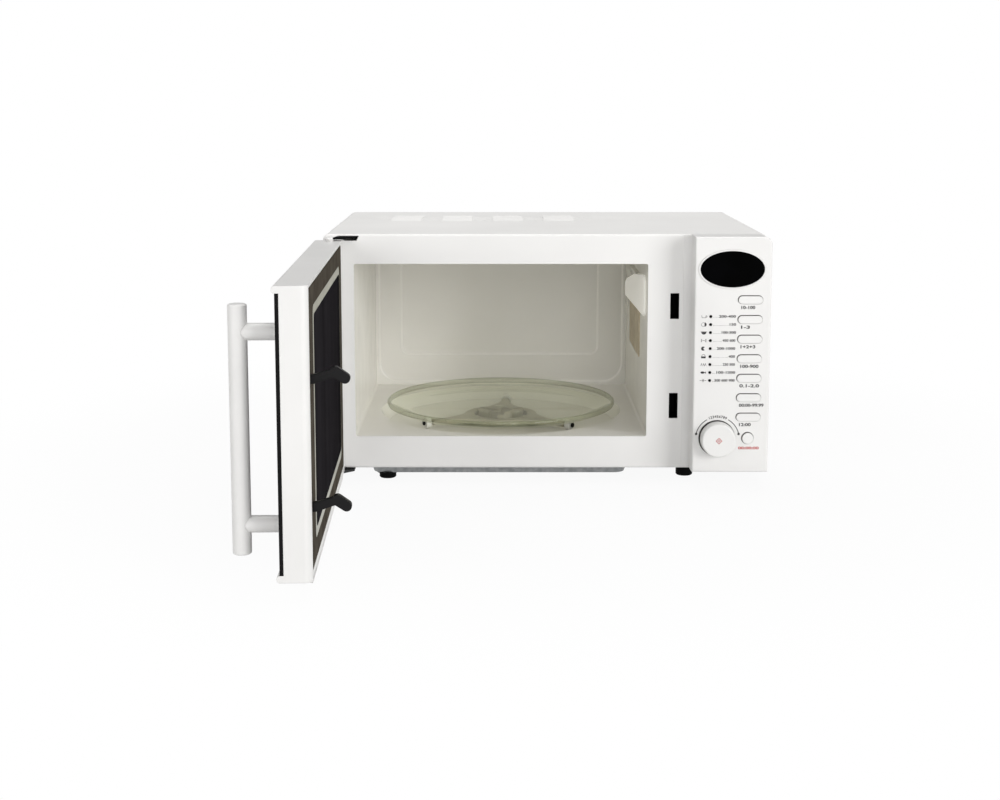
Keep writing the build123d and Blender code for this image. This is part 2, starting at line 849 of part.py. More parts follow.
with BuildPart() as fan_shroud:
    with BuildSketch(front_view(rear_face)):
        with Locations((fan_x, fan_z)):
            RectangleRounded(2 * shroud_half, 2 * shroud_half, shroud_corner)
            shroud_inside = 2 * (shroud_half - shroud_wall)
            RectangleRounded(shroud_inside, shroud_inside, shroud_corner - shroud_wall, mode=Mode.SUBTRACT)
    extrude(amount=shroud_depth)
    with BuildSketch(front_view(rear_face - shroud_depth)):
        with Locations((fan_x, fan_z)):
            RectangleRounded(2 * shroud_half, 2 * shroud_half, shroud_corner)
            Circle(fan_radius + fan_tip_gap, mode=Mode.SUBTRACT)
    extrude(amount=-shroud_wall)
save(fan_shroud, "fan_shroud")

with BuildPart() as fan_blade:
    with BuildSketch(front_view(blade_back)):
        with Locations((fan_x, fan_z)):
            Circle(hub_radius)
    extrude(amount=blade_depth)
    for blade in range(blade_count):
        turn = 360 / blade_count * blade
        root = Plane(
            origin=(fan_x, blade_back - blade_depth / 2, fan_z),
            x_dir=(0, -1, 0),
            z_dir=(cos(radians(turn)), 0, sin(radians(turn))),
        )
        for reach, chord, pitch in blade_stations:
            with BuildSketch(root.offset(reach)):
                Rectangle(chord, blade_sheet, rotation=90 - pitch)
        loft(ruled=True)
    with BuildSketch(front_view(blade_back - blade_depth / 2)):
        with Locations((fan_x, fan_z)):
            Circle(fan_shaft)
    extrude(amount=-(rear_face - shaft_rest - blade_back + blade_depth / 2))
save(fan_blade, "fan_blade")

with BuildPart() as fan_motor:
    with BuildSketch(front_view(motor_front)):
        with Locations((fan_x, fan_z)):
            RectangleRounded(2 * motor_half, 2 * motor_half, motor_corner)
    extrude(amount=-(rear_face - motor_front))
    with BuildSketch(front_view(motor_front + coil_set)):
        with Locations((fan_x, fan_z - motor_half)):
            RectangleRounded(motor_coil[0], motor_coil[1], coil_corner)
    extrude(amount=-motor_coil[2])
    with BuildSketch(front_view(motor_front)):
        with Locations((fan_x, fan_z)):
            Circle(fan_shaft + running_gap)
    extrude(amount=-(rear_face - motor_front - motor_floor), mode=Mode.SUBTRACT)
save(fan_motor, "fan_motor")

# Turntable: motor under the floor, coupler, glass tray, three-armed spider and its rollers
spindle_radius = 4.0
motor_radius = 24.5
motor_height = 13.5
motor_top = recess_z - sheet
coupler_radius = 13.0
wing_length = 27.0
wing_width = 8.0
wing_count = 3
wing_start = 30.0
motor_ear = (10.0, 12.0, 2.0)
spindle_floor = 3.0
coupler_lift = 2.0
spindle_rest = 5.0
rim_turn = (17.0, 14.0)
rim_share = 0.33
stop_circle = coupler_radius + 8.0
stop_start = 90.0
stop_block = (6.0, 12.0, 5.0)
turn_axis = Axis((turn_x, turn_y, 0), (0, 0, 1))

with BuildPart() as turntable_motor:
    with BuildSketch(top_view(motor_top)):
        with Locations((turn_x, turn_y)):
            Circle(motor_radius)
            SlotOverall(2 * (motor_radius + motor_ear[0]), motor_ear[1])
    extrude(amount=-motor_ear[2])
    with BuildSketch(top_view(motor_top)):
        with Locations((turn_x, turn_y)):
            Circle(motor_radius)
    extrude(amount=-motor_height)
    with BuildSketch(top_view(motor_top)):
        with Locations((turn_x, turn_y)):
            Circle(spindle_radius + running_gap)
    extrude(amount=spindle_floor - motor_height, mode=Mode.SUBTRACT)
save(turntable_motor, "turntable_motor")

with BuildPart() as turntable_coupler:
    coupler_bottom = recess_z + coupler_lift
    with BuildSketch(top_view(coupler_bottom)):
        with Locations((turn_x, turn_y)):
            Circle(coupler_radius)
            with PolarLocations(wing_length / 2, wing_count, start_angle=wing_start):
                Rectangle(wing_length, wing_width)
    extrude(amount=tray_z - coupler_bottom)
    with BuildSketch(top_view(coupler_bottom)):
        with Locations((turn_x, turn_y)):
            Circle(spindle_radius)
    extrude(amount=-(coupler_lift + sheet + motor_height - spindle_rest))
save(turntable_coupler, "turntable_coupler")

with BuildPart() as glass_tray:
    with BuildSketch(front_view(turn_y)):
        with BuildLine():
            flat_under = Line((turn_x, tray_z), (turn_x + tray_flat, tray_z))
            rim_under = ThreePointArc(
                flat_under @ 1,
                (turn_x + tray_flat + rim_turn[0], tray_z + tray_rise * rim_share),
                (turn_x + tray_radius - 1, tray_z + tray_rise),
            )
            rim_edge = ThreePointArc(
                rim_under @ 1,
                (turn_x + tray_radius, tray_z + tray_rise + tray_glass / 2),
                (turn_x + tray_radius - tray_glass / 2, tray_z + tray_rise + tray_glass),
            )
            rim_over = ThreePointArc(
                rim_edge @ 1,
                (turn_x + tray_flat + rim_turn[1], tray_z + tray_glass + tray_rise * rim_share),
                (turn_x + tray_flat, tray_z + tray_glass),
            )
            Polyline(rim_over @ 1, (turn_x, tray_z + tray_glass), flat_under @ 0)
        make_face()
    revolve(axis=turn_axis)
    with BuildSketch(top_view(tray_z)):
        with Locations((turn_x, turn_y)):
            with PolarLocations(stop_circle, wing_count, start_angle=stop_start):
                Rectangle(stop_block[0], stop_block[1])
    extrude(amount=-stop_block[2])
save(glass_tray, "glass_tray")

hub_outer = 40.0
hub_inner = 30.0
arm_end = roller_circle - roller_width / 2 - 2.5
arm_sheet = 5.0
arm_widths = (46.0, 15.0, 9.0)
arm_waist = hub_outer + 17.0
pin_head = 1.5
pin_grip = 8.0
pin_head_start = roller_circle + roller_width / 2 + 0.5
roller_chamfer = 0.8
roller_count = 3
roller_start = 86.0


def axle_plane(index):
    """Plane at the middle of the turntable, facing outwards along one roller's axle."""
    turn = radians(roller_start + 360 / roller_count * index)
    return Plane(
        origin=(turn_x, turn_y, roller_z),
        x_dir=(-sin(turn), cos(turn), 0),
        z_dir=(cos(turn), sin(turn), 0),
    )


def arm_point(index, along, across):
    """Point of one arm of the spider, along its axle and across it."""
    turn = radians(roller_start + 360 / roller_count * index)
    return (
        turn_x + along * cos(turn) - across * sin(turn),
        turn_y + along * sin(turn) + across * cos(turn),
    )


with BuildPart() as roller_spider:
    with BuildSketch(top_view(roller_z - arm_sheet / 2)):
        with Locations((turn_x, turn_y)):
            Circle(hub_outer)
        for index in range(roller_count):
            with BuildLine():
                ends = []
                for side in (-1, 1):
                    root = arm_point(index, hub_inner, side * arm_widths[0] / 2)
                    waist = arm_point(index, arm_waist, side * arm_widths[1] / 2)
                    tip = arm_point(index, arm_end, side * arm_widths[2] / 2)
                    ThreePointArc(root, waist, tip)
                    ends.append((root, tip))
                Line(ends[0][0], ends[1][0])
                Line(ends[0][1], ends[1][1])
            make_face()
        with Locations((turn_x, turn_y)):
            Circle(hub_inner, mode=Mode.SUBTRACT)
    extrude(amount=arm_sheet)
    for index in range(roller_count):
        axle = axle_plane(index)
        with BuildSketch(axle.offset(arm_end - pin_grip)):
            Circle(roller_pin)
        extrude(amount=pin_head_start + pin_head - arm_end + pin_grip)
        with BuildSketch(axle.offset(pin_head_start)):
            Circle(roller_pin + 1)
        extrude(amount=pin_head)
save(roller_spider, "roller_spider")

for index in range(roller_count):
    axle = axle_plane(index)
    with BuildPart() as roller:
        with BuildSketch(axle.offset(roller_circle - roller_width / 2)):
            Circle(roller_radius)
            Circle(roller_pin + running_gap, mode=Mode.SUBTRACT)
        extrude(amount=roller_width)
        chamfer(edges().filter_by(GeomType.CIRCLE).group_by(SortBy.LENGTH)[-1], roller_chamfer)
    save(roller, f"roller_{index + 1}")

# Grill element under the ceiling, with two hangers and its tails through the right wall
hanger = (8.0, 2.0)

with BuildPart() as grill_element:
    heater_end = bay_left + heater_tail
    near_y = turn_y - heater_spread / 2
    far_y = turn_y + heater_spread / 2
    bend_x = heater_end - heater_reach
    with BuildLine():
        FilletPolyline(
            (heater_end, near_y, heater_z),
            (bend_x, near_y, heater_z),
            (bend_x, far_y, heater_z),
            (heater_end, far_y, heater_z),
            radius=heater_bend,
        )
    with BuildSketch(Plane(origin=(heater_end, near_y, heater_z), z_dir=(-1, 0, 0))):
        Circle(heater_radius)
    sweep()
    with BuildSketch(top_view(heater_z)):
        with Locations((turn_x, near_y), (turn_x, far_y)):
            Rectangle(*hanger)
    extrude(amount=cavity_top - heater_z)
save(grill_element, "grill_element")

# Cavity lamp in its holder on the ceiling
holder_size = (34.0, 30.0)
holder_corner = 4.0
holder_bottom = cavity_top + sheet
holder_gap = 11.5

with BuildPart() as cavity_lamp:
    with BuildSketch(top_view(holder_bottom)):
        with Locations((lamp_x, lamp_y)):
            RectangleRounded(*holder_size, holder_corner)
    extrude(amount=frame_top - holder_gap - holder_bottom)
    with BuildSketch(top_view(holder_bottom)):
        with Locations((lamp_x, lamp_y)):
            Circle(lamp_hole - rolling_gap)
    extrude(amount=-sheet)
save(cavity_lamp, "cavity_lamp")

# Latch body behind the slots, and the interlock switches on its side
latch_wall = 8.0
latch_end = 10.0
latch_left = slot_x - slot_width / 2 - latch_wall
latch_right = slot_x + slot_width / 2 + latch_wall
latch_depth = 36.0
latch_top = slot_centre + slot_spacing / 2 + slot_height / 2 + latch_end
latch_bottom = slot_centre - slot_spacing / 2 - slot_height / 2 - latch_end
latch_web = 6.0
pocket_depth = hook_reach + 1.0
interlock_size = (10.0, 16.0, 28.0)
interlock_pins = (-9.0, 0.0, 9.0)
interlock_pin = (0.8, 7.0, 6.0)

with BuildPart() as latch_body:
    box_between(
        (latch_left, latch_right),
        (frame_back, frame_back + latch_depth),
        (latch_bottom, latch_top),
    )
    for level in (-1, 1):
        pocket_z = slot_centre + level * slot_spacing / 2
        box_between(
            (slot_x - slot_width / 2, slot_x + slot_width / 2),
            (frame_back, frame_back + pocket_depth),
            (pocket_z - slot_height / 2, pocket_z + slot_height / 2),
            mode=Mode.SUBTRACT,
        )
    relief = slot_spacing - slot_height - 2 * latch_wall
    box_between(
        (latch_left, latch_right),
        (frame_back + latch_web, frame_back + latch_depth),
        (slot_centre - relief / 2, slot_centre + relief / 2),
        mode=Mode.SUBTRACT,
    )
save(latch_body, "latch_body")

with BuildPart() as interlock_switches:
    for level in (-1, 0, 1):
        switch_z = slot_centre + level * slot_spacing / 2
        switch_y = frame_back + (latch_depth if level else latch_web)
        switch_back = switch_y + interlock_size[1]
        box_between(
            (slot_x - interlock_size[0] / 2, slot_x + interlock_size[0] / 2),
            (switch_y, switch_back),
            (switch_z - interlock_size[2] / 2, switch_z + interlock_size[2] / 2),
        )
        for terminal in interlock_pins:
            box_between(
                (slot_x - interlock_pin[0] / 2, slot_x + interlock_pin[0] / 2),
                (switch_back, switch_back + interlock_pin[1]),
                (switch_z + terminal - interlock_pin[2] / 2, switch_z + terminal + interlock_pin[2] / 2),
            )
save(interlock_switches, "interlock_switches")

# Mains filter board on the back panel, with its choke and fuse
filter_x = frame_half - 34.0
filter_z = base_top + 62.0
filter_y = rear_face - 6.0
filter_size = (50.0, 64.0)
filter_posts = (40.0, 54.0)
filter_post = 3.0
choke_radius = 12.0
choke_bore = 5.0
choke_rise = 14.0
fuse_size = (34.0, 8.0)
fuse_drop = 18.0

with BuildPart() as filter_board:
    with BuildSketch(front_view(filter_y)):
        with Locations((filter_x, filter_z)):
            Rectangle(*filter_size)
    extrude(amount=board_thickness)
    with BuildSketch(front_view(filter_y)):
        with Locations((filter_x, filter_z)):
            with GridLocations(*filter_posts, 2, 2):
                Circle(filter_post)
    extrude(amount=filter_y - rear_face)
    with BuildSketch(front_view(filter_y - board_thickness)):
        with Locations((filter_x, filter_z + choke_rise)):
            Circle(choke_radius)
            Circle(choke_bore, mode=Mode.SUBTRACT)
    extrude(amount=choke_radius)
    with BuildSketch(front_view(filter_y - board_thickness)):
        with Locations((filter_x, filter_z - fuse_drop)):
            SlotOverall(*fuse_size)
    extrude(amount=fuse_size[1])
save(filter_board, "filter_board")

# Hinges: a plate with a pin at the top, and a stepped plate with a pin at the bottom
hinge_tail = 20.0
knuckle = 5.5
root_depth = 2.0
lower_drop = 0.9
lower_top = door_bottom - lower_drop
tail_width = notch_width - notch_slant[1] - 2 * rolling_gap
tail_x = notch_left + rolling_gap + tail_width / 2
lower_width = 11.0
lower_x = tail_x - 1.0


def hinge_outline(root_x, root_width):
    """Plate outline from the knuckle round the pin to the root at the front frame."""
    with Locations((hinge_x, hinge_y)):
        Circle(knuckle)
    with Locations((root_x, front_y)):
        Rectangle(root_width, root_depth)
    make_hull()


with BuildPart() as upper_hinge:
    plate_bottom = hinge_plate_top - hinge_plate
    with BuildSketch(top_view(plate_bottom)):
        hinge_outline(tail_x, tail_width)
        with Locations((0, front_y + frame_flange / 2)):
            Rectangle(body_width, frame_flange, mode=Mode.SUBTRACT)
        with Locations((tail_x, front_y + hinge_tail / 2)):
            Rectangle(tail_width, hinge_tail)
    extrude(amount=hinge_plate)
    with BuildSketch(top_view(plate_bottom)):
        with Locations((hinge_x, hinge_y)):
            Circle(pin_radius)
    extrude(amount=-(plate_bottom - door_top + pin_length))
save(upper_hinge, "upper_hinge")

with BuildPart() as lower_hinge:
    with BuildSketch(top_view(lower_top)):
        hinge_outline(lower_x, lower_width)
        with Locations((lower_x, front_y + frame_flange / 2)):
            Rectangle(lower_width, frame_flange)
    extrude(amount=-hinge_plate)
    with BuildSketch(top_view(lower_top)):
        with Locations((lower_x, front_y + (hem_round + frame_flange) / 2)):
            Rectangle(lower_width, frame_flange - hem_round)
    extrude(amount=frame_bottom - lower_top)
    with BuildSketch(top_view(lower_top)):
        with Locations((hinge_x, hinge_y)):
            Circle(pin_radius)
    extrude(amount=lower_drop + pin_length)
save(lower_hinge, "lower_hinge")

# Control panel: moulded shell, open at the back, with a concave flank running into the front frame
panel_corner = 8.0
panel_edge = 2.0
flank_foot = 0.5
display_x = panel_mid_x - 1.0
display_z = body_height - 32.5
display_ring = 1.6
ring_proud = 0.8
key_x = half_width - 20.9
key_top_z = body_height - 63.5
key_names = ("power", "grill", "combi", "weight", "defrost", "timer", "clock")
dial_x = panel_left + 25.4
dial_z = panel_bottom + 35.1
key_pitch = (key_top_z - dial_z - key_row_gap) / (len(key_names) - 1)
key_sites = [(key_x, key_top_z - key_pitch * index) for index in range(len(key_names))]
stop_radius = 6.0
stop_x = key_x - 0.1
light_radius = 1.5
light_x = panel_left + 16.6
light_top_z = body_height - 80.2
light_share = 0.4085
light_pitch = key_pitch * light_share
light_count = 9
light_sites = [(light_x, light_top_z - light_pitch * index) for index in range(light_count)]
stem_hole = dial_stem + 0.6
board_post = 3.0
board_side_gap = 2.0
board_end_gap = 8.0
post_inset = 5.0
board_half = panel_width / 2 - panel_wall - board_side_gap
board_bottom = panel_bottom + board_end_gap
board_top = panel_top - board_end_gap
post_sites = [
    (panel_mid_x + side * (board_half - post_inset), height)
    for side in (-1, 1)
    for height in (board_bottom + post_inset, board_top - post_inset)
]

with BuildPart() as control_panel:
    with BuildSketch(front_view(panel_face)):
        with Locations((panel_mid_x, panel_mid_z)):
            Rectangle(panel_width, panel_top - panel_bottom)
        fillet(vertices().sort_by(Axis.X)[-2:].sort_by(Axis.Y)[-1], panel_corner)
    extrude(amount=-panel_protrusion)
    fillet(faces().sort_by(Axis.Y)[0].edges(), panel_edge)
    with BuildSketch(front_view(panel_inside)):
        with Locations((panel_mid_x, panel_mid_z)):
            Rectangle(panel_width - 2 * panel_wall, panel_top - panel_bottom - 2 * panel_wall)
        fillet(vertices().sort_by(Axis.X)[-2:].sort_by(Axis.Y)[-1], panel_corner - panel_wall)
    extrude(amount=-panel_protrusion, mode=Mode.SUBTRACT)
    with BuildSketch(top_view(panel_bottom)):
        with Locations((panel_left - panel_flank / 2, front_y - (panel_flank + flank_foot) / 2)):
            Rectangle(panel_flank, panel_flank + flank_foot)
        with Locations((panel_left - panel_flank, front_y - panel_flank - flank_foot)):
            Circle(panel_flank, mode=Mode.SUBTRACT)
    extrude(amount=frame_top - panel_bottom)
    with BuildSketch(front_view(panel_face)):
        with Locations((display_x, display_z)):
            Ellipse(display_width / 2 + display_ring, display_height / 2 + display_ring)
    extrude(amount=ring_proud)
    with BuildSketch(front_view(panel_face - ring_proud)):
        with Locations((display_x, display_z)):
            Ellipse(display_width / 2, display_height / 2)
        with Locations(*key_sites):
            SlotOverall(key_width, key_height)
        with Locations((stop_x, dial_z)):
            Circle(stop_radius)
        with Locations((dial_x, dial_z)):
            Circle(stem_hole)
        with Locations(*light_sites):
            Circle(light_radius)
    extrude(amount=-(panel_wall + ring_proud), mode=Mode.SUBTRACT)
    with BuildSketch(front_view(board_front)):
        with Locations(*post_sites):
            Circle(board_post)
    extrude(amount=board_depth)
save(control_panel, "control_panel")

# Display: oval window with a rear flange
window_flange = 1.2
window_sink = 0.3
flange_reach = 2.0

with BuildPart() as display_window:
    with BuildSketch(front_view(panel_inside)):
        with Locations((display_x, display_z)):
            Ellipse(display_width / 2 - key_gap, display_height / 2 - key_gap)
    extrude(amount=panel_wall - window_sink)
    with BuildSketch(front_view(panel_inside)):
        with Locations((display_x, display_z)):
            Ellipse(display_width / 2 + flange_reach, display_height / 2 + flange_reach)
    extrude(amount=-window_flange)
save(display_window, "display_window")

# Control board with the display module and one switch behind each key
switch_size = 6.0
switch_body = 3.5
switch_plunger = 1.5
plunger_radius = 1.75
press_gap = 0.2
board_corner = 3.0
module_margin = (12.0, 14.0)
relay_height = 8.0
relays = (((22.0, 22.0), (0.0, 20.0)), ((20.0, 26.0), (-12.0, -40.0)))
plunger_front = board_front - switch_body - switch_plunger
stem_end = plunger_front - key_travel - press_gap

with BuildPart() as control_board:
    with BuildSketch(front_view(board_front)):
        with Locations((panel_mid_x, (board_bottom + board_top) / 2)):
            RectangleRounded(2 * board_half, board_top - board_bottom, board_corner)
    extrude(amount=-board_thickness)
    with BuildSketch(front_view(board_front + board_thickness)):
        for relay_size, relay_place in relays:
            with Locations((panel_mid_x + relay_place[0], panel_mid_z + relay_place[1])):
                Rectangle(*relay_size)
    extrude(amount=-relay_height)
    with BuildSketch(front_view(board_front)):
        with Locations((display_x, display_z)):
            Rectangle(display_width - module_margin[0], display_height - module_margin[1])
    extrude(amount=board_depth - window_flange)
    with BuildSketch(front_view(board_front)):
        with Locations(*key_sites, (stop_x, dial_z)):
            Rectangle(switch_size, switch_size)
    extrude(amount=switch_body)
    with BuildSketch(front_view(board_front - switch_body)):
        with Locations(*key_sites, (stop_x, dial_z)):
            Circle(plunger_radius)
    extrude(amount=switch_plunger)
save(control_board, "control_board")

# Indicator lights: pegs from the board through the panel
light_proud = 0.4

with BuildPart() as indicator_lights:
    with BuildSketch(front_view(board_front)):
        with Locations(*light_sites):
            Circle(light_radius - key_gap / 2)
    extrude(amount=board_depth + panel_wall + light_proud)
save(indicator_lights, "indicator_lights")

# Keys: seven pills and the round stop key, each with a retaining flange and a stem
key_flange = 1.2
key_lip = 1.0
key_round = 0.6
key_stem = 2.0
flange_front = panel_inside + press_gap

for index, key_name in enumerate(key_names):
    with BuildPart() as key:
        with BuildSketch(front_view(flange_front)):
            with Locations(key_sites[index]):
                SlotOverall(key_width - 2 * key_gap, key_height - 2 * key_gap)
        extrude(amount=panel_wall + press_gap + key_proud)
        fillet(edges().group_by(Axis.Y)[0], key_round)
        with BuildSketch(front_view(flange_front)):
            with Locations(key_sites[index]):
                SlotOverall(key_width + 2 * key_lip, key_height + 2 * key_lip)
        extrude(amount=-key_flange)
        with BuildSketch(front_view(flange_front)):
            with Locations(key_sites[index]):
                Circle(key_stem)
        extrude(amount=-(stem_end - flange_front))
    save(key, f"{key_name}_key")

with BuildPart() as stop_key:
    with BuildSketch(front_view(flange_front)):
        with Locations((stop_x, dial_z)):
            Circle(stop_radius - key_gap)
    extrude(amount=panel_wall + press_gap + key_proud)
    fillet(edges().group_by(Axis.Y)[0], key_round)
    with BuildSketch(front_view(flange_front)):
        with Locations((stop_x, dial_z)):
            Circle(stop_radius + key_lip)
    extrude(amount=-key_flange)
    with BuildSketch(front_view(flange_front)):
        with Locations((stop_x, dial_z)):
            Circle(key_stem)
    extrude(amount=-(stem_end - flange_front))
save(stop_key, "stop_key")

# Dial: knob on a shaft that turns a rotor in the encoder and slides through it when pressed
dial_clear = 0.4
dial_gap = key_travel + dial_clear
dial_back = panel_face - dial_gap
dial_edge = 1.5
dial_taper = 3.0
dial_roof = 3.0
rotor_radius = 5.0
rotor_length = 3.0
encoder_half = 7.0
encoder_length = 6.5
encoder_front = board_front - encoder_length
rotor_front = encoder_front + 1.5
shaft_end = board_front - dial_gap

with BuildPart() as dial_knob:
    with BuildSketch(front_view(dial_back)):
        with Locations((dial_x, dial_z)):
            Circle(dial_radius)
    extrude(amount=dial_height, taper=dial_taper)
    fillet(faces().sort_by(Axis.Y)[0].edges(), dial_edge)
    with BuildSketch(front_view(dial_back)):
        with Locations((dial_x, dial_z)):
            Circle(dial_stem + running_gap)
    extrude(amount=dial_height - dial_roof, mode=Mode.SUBTRACT)
save(dial_knob, "dial_knob")

with BuildPart() as dial_shaft:
    with BuildSketch(front_view(shaft_end)):
        with Locations((dial_x, dial_z)):
            Circle(dial_stem)
    extrude(amount=shaft_end - dial_back + dial_height - dial_roof)
save(dial_shaft, "dial_shaft")

with BuildPart() as encoder_rotor:
    with BuildSketch(front_view(rotor_front)):
        with Locations((dial_x, dial_z)):
            Circle(rotor_radius)
            Circle(dial_stem + running_gap, mode=Mode.SUBTRACT)
    extrude(amount=-rotor_length)
save(encoder_rotor, "encoder_rotor")

with BuildPart() as encoder_housing:
    with BuildSketch(front_view(encoder_front)):
        with Locations((dial_x, dial_z)):
            RectangleRounded(2 * encoder_half, 2 * encoder_half, 1)
    extrude(amount=-encoder_length)
    with BuildSketch(front_view(encoder_front)):
        with Locations((dial_x, dial_z)):
            Circle(dial_stem + 2 * running_gap)
    extrude(amount=-encoder_length, mode=Mode.SUBTRACT)
    with BuildSketch(front_view(rotor_front - running_gap)):
        with Locations((dial_x, dial_z)):
            Circle(rotor_radius + running_gap)
    extrude(amount=-(rotor_length + 2 * running_gap), mode=Mode.SUBTRACT)
save(encoder_housing, "encoder_housing")

# Door limits, in the door's own plane
boss_gap = 1.0
rim_left = boss_radius + boss_gap
rim_right = door_free - free_corner
rim_bottom = door_bottom + door_wall
rim_top = door_top - door_wall
rim_size = (rim_right - rim_left, rim_top - rim_bottom)
rim_mid = ((rim_left + rim_right) / 2, (rim_bottom + rim_top) / 2)
seal_overlap = 8.0
seal_below = 13.0
seal_above = 5.0
seal_left = opening_left - hinge_x - seal_overlap
seal_right = opening_right - hinge_x + seal_overlap
seal_bottom = opening_bottom - seal_below
seal_top = opening_top + seal_above
seal_size = (seal_right - seal_left, seal_top - seal_bottom)
seal_mid = ((seal_left + seal_right) / 2, (seal_bottom + seal_top) / 2)
seal_corner = 6.0
seal_side = 25.0
seal_rail = 17.0
pane_size = (seal_size[0] - 2 * seal_side, seal_size[1] - 2 * seal_rail)
seal_set = 0.5
seal_face = door_inner - seal_set
pane_thickness = 2.0
pane_sink = 1.5
pane_floor = seal_face - pane_sink - pane_thickness
choke_sink = 6.0
choke_face = door_inner - choke_sink
choke_sheet = 1.5
choke_gap = 1.0
hook_shift = 1.0
hook_along = slot_x - hook_shift - hinge_x
hook_drop = 8.0
hook_heights = [slot_centre + level * slot_spacing / 2 - hook_drop for level in (-1, 1)]
hook_slot = (hook_thickness + 1.5, 21.0)
hook_slot_rise = 3.5
handle_along = door_free - handle_inset
handle_depth = door_outer - handle_stand
post_heights = (door_mid_z - post_spacing / 2, door_mid_z + post_spacing / 2)
post_sites_door = [(handle_along, height) for height in post_heights]
hook_slot_sites = [(hook_along, height + hook_slot_rise) for height in hook_heights]

# Door frame: moulded box with rounded inner edges, rails over the glass and two hinge bosses
with BuildPart() as door_frame:
    with BuildSketch(door_level(door_bottom)):
        with Locations((door_mid, (glass_back + door_inner) / 2)):
            Rectangle(door_width, door_inner - glass_back)
        fillet(vertices().group_by(Axis.Y)[-1].sort_by(Axis.X)[0], hinge_corner)
        fillet(vertices().group_by(Axis.Y)[-1].sort_by(Axis.X)[-1], free_corner)
    extrude(amount=door_height)
    with BuildSketch(door_level(rim_bottom)):
        with Locations((door_mid, (door_skin + door_inner - door_wall) / 2)):
            Rectangle(door_width - 2 * door_wall, door_inner - door_wall - door_skin)
        fillet(vertices().group_by(Axis.Y)[-1].sort_by(Axis.X)[0], hinge_corner - door_wall)
        fillet(vertices().group_by(Axis.Y)[-1].sort_by(Axis.X)[-1], free_corner - door_wall)
    extrude(amount=door_height - 2 * door_wall, mode=Mode.SUBTRACT)
    with BuildSketch(door_face(door_inner)):
        with Locations(rim_mid):
            Rectangle(*rim_size)
    extrude(amount=door_wall, mode=Mode.SUBTRACT)
    with BuildSketch(door_face(door_skin)):
        with Locations(seal_mid):
            RectangleRounded(*pane_size, seal_corner)
        with Locations(*post_sites_door):
            Circle(screw_radius)
    extrude(amount=door_wall, mode=Mode.SUBTRACT)
    for rail_bottom in (door_bottom, door_top - rail_height):
        with BuildSketch(door_section(door_left)):
            with Locations(((door_outer + glass_back) / 2, rail_bottom + rail_height / 2)):
                Rectangle(glass_back - door_outer, rail_height)
            fillet(vertices().group_by(Axis.X)[0], rail_lip)
        extrude(amount=door_width)
    for boss_start, direction in ((rim_top, -1), (rim_bottom, 1)):
        with BuildSketch(door_level(boss_start)):
            Circle(boss_radius)
        extrude(amount=direction * pin_length)
    for hole_start, direction in ((door_top, -1), (door_bottom, 1)):
        with BuildSketch(door_level(hole_start)):
            Circle(pin_radius + running_gap)
        extrude(amount=direction * (pin_length + pin_end_gap), mode=Mode.SUBTRACT)
save(door_frame, "door_frame")

with BuildPart() as door_glass:
    with BuildSketch(door_face(glass_back)):
        with Locations((door_mid, door_mid_z)):
            Rectangle(door_width, door_height - 2 * rail_height)
        with Locations(*post_sites_door):
            Circle(screw_radius, mode=Mode.SUBTRACT)
    extrude(amount=glass_thickness)
save(door_glass, "door_glass")

# Inner steel plate: raised sealing ring round the window, base flange behind the choke cover
plate_gap = 0.5
plate_left = rim_left - key_gap
plate_right = door_free - door_wall - plate_gap

with BuildPart() as door_screen:
    with BuildSketch(door_face(seal_face)):
        with Locations(seal_mid):
            RectangleRounded(*seal_size, seal_corner)
    extrude(amount=seal_face + sheet)
    with BuildSketch(door_face(pane_floor - sheet)):
        with Locations(seal_mid):
            RectangleRounded(seal_size[0] - 2 * sheet, seal_size[1] - 2 * sheet, seal_corner - sheet)
    extrude(amount=pane_floor, mode=Mode.SUBTRACT)
    with BuildSketch(door_face(seal_face - sheet)):
        with Locations(seal_mid):
            RectangleRounded(seal_size[0] - 2 * sheet, seal_size[1] - 2 * sheet, seal_corner - sheet)
            Rectangle(pane_size[0] + 2 * sheet, pane_size[1] + 2 * sheet, mode=Mode.SUBTRACT)
    extrude(amount=seal_face - pane_floor, mode=Mode.SUBTRACT)
    with BuildSketch(door_face(seal_face)):
        with Locations(seal_mid):
            Rectangle(*pane_size)
    extrude(amount=seal_face - pane_floor, mode=Mode.SUBTRACT)
    with BuildSketch(door_face(0)):
        with Locations(((plate_left + plate_right) / 2, rim_mid[1])):
            Rectangle(plate_right - plate_left, rim_size[1] - 2 * plate_gap)
        with Locations(seal_mid):
            RectangleRounded(
                seal_size[0] - 2 * sheet, seal_size[1] - 2 * sheet, seal_corner - sheet, mode=Mode.SUBTRACT
            )
        with Locations(*hook_slot_sites):
            Rectangle(*hook_slot, mode=Mode.SUBTRACT)
    extrude(amount=sheet)
save(door_screen, "door_screen")

with BuildPart() as choke_cover:
    with BuildSketch(door_face(choke_face)):
        with Locations(rim_mid):
            Rectangle(rim_size[0] - 2 * key_gap, rim_size[1] - 2 * key_gap)
        with Locations(seal_mid):
            RectangleRounded(
                seal_size[0] + 2 * choke_gap, seal_size[1] + 2 * choke_gap, seal_corner, mode=Mode.SUBTRACT
            )
        with Locations(*hook_slot_sites):
            Rectangle(*hook_slot, mode=Mode.SUBTRACT)
    extrude(amount=choke_sheet)
    with BuildSketch(door_face(choke_face - choke_sheet)):
        with Locations(rim_mid):
            Rectangle(rim_size[0] - 2 * key_gap, rim_size[1] - 2 * key_gap)
            Rectangle(
                rim_size[0] - 2 * key_gap - 2 * choke_sheet,
                rim_size[1] - 2 * key_gap - 2 * choke_sheet,
                mode=Mode.SUBTRACT,
            )
    extrude(amount=choke_face - choke_sheet)
save(choke_cover, "choke_cover")

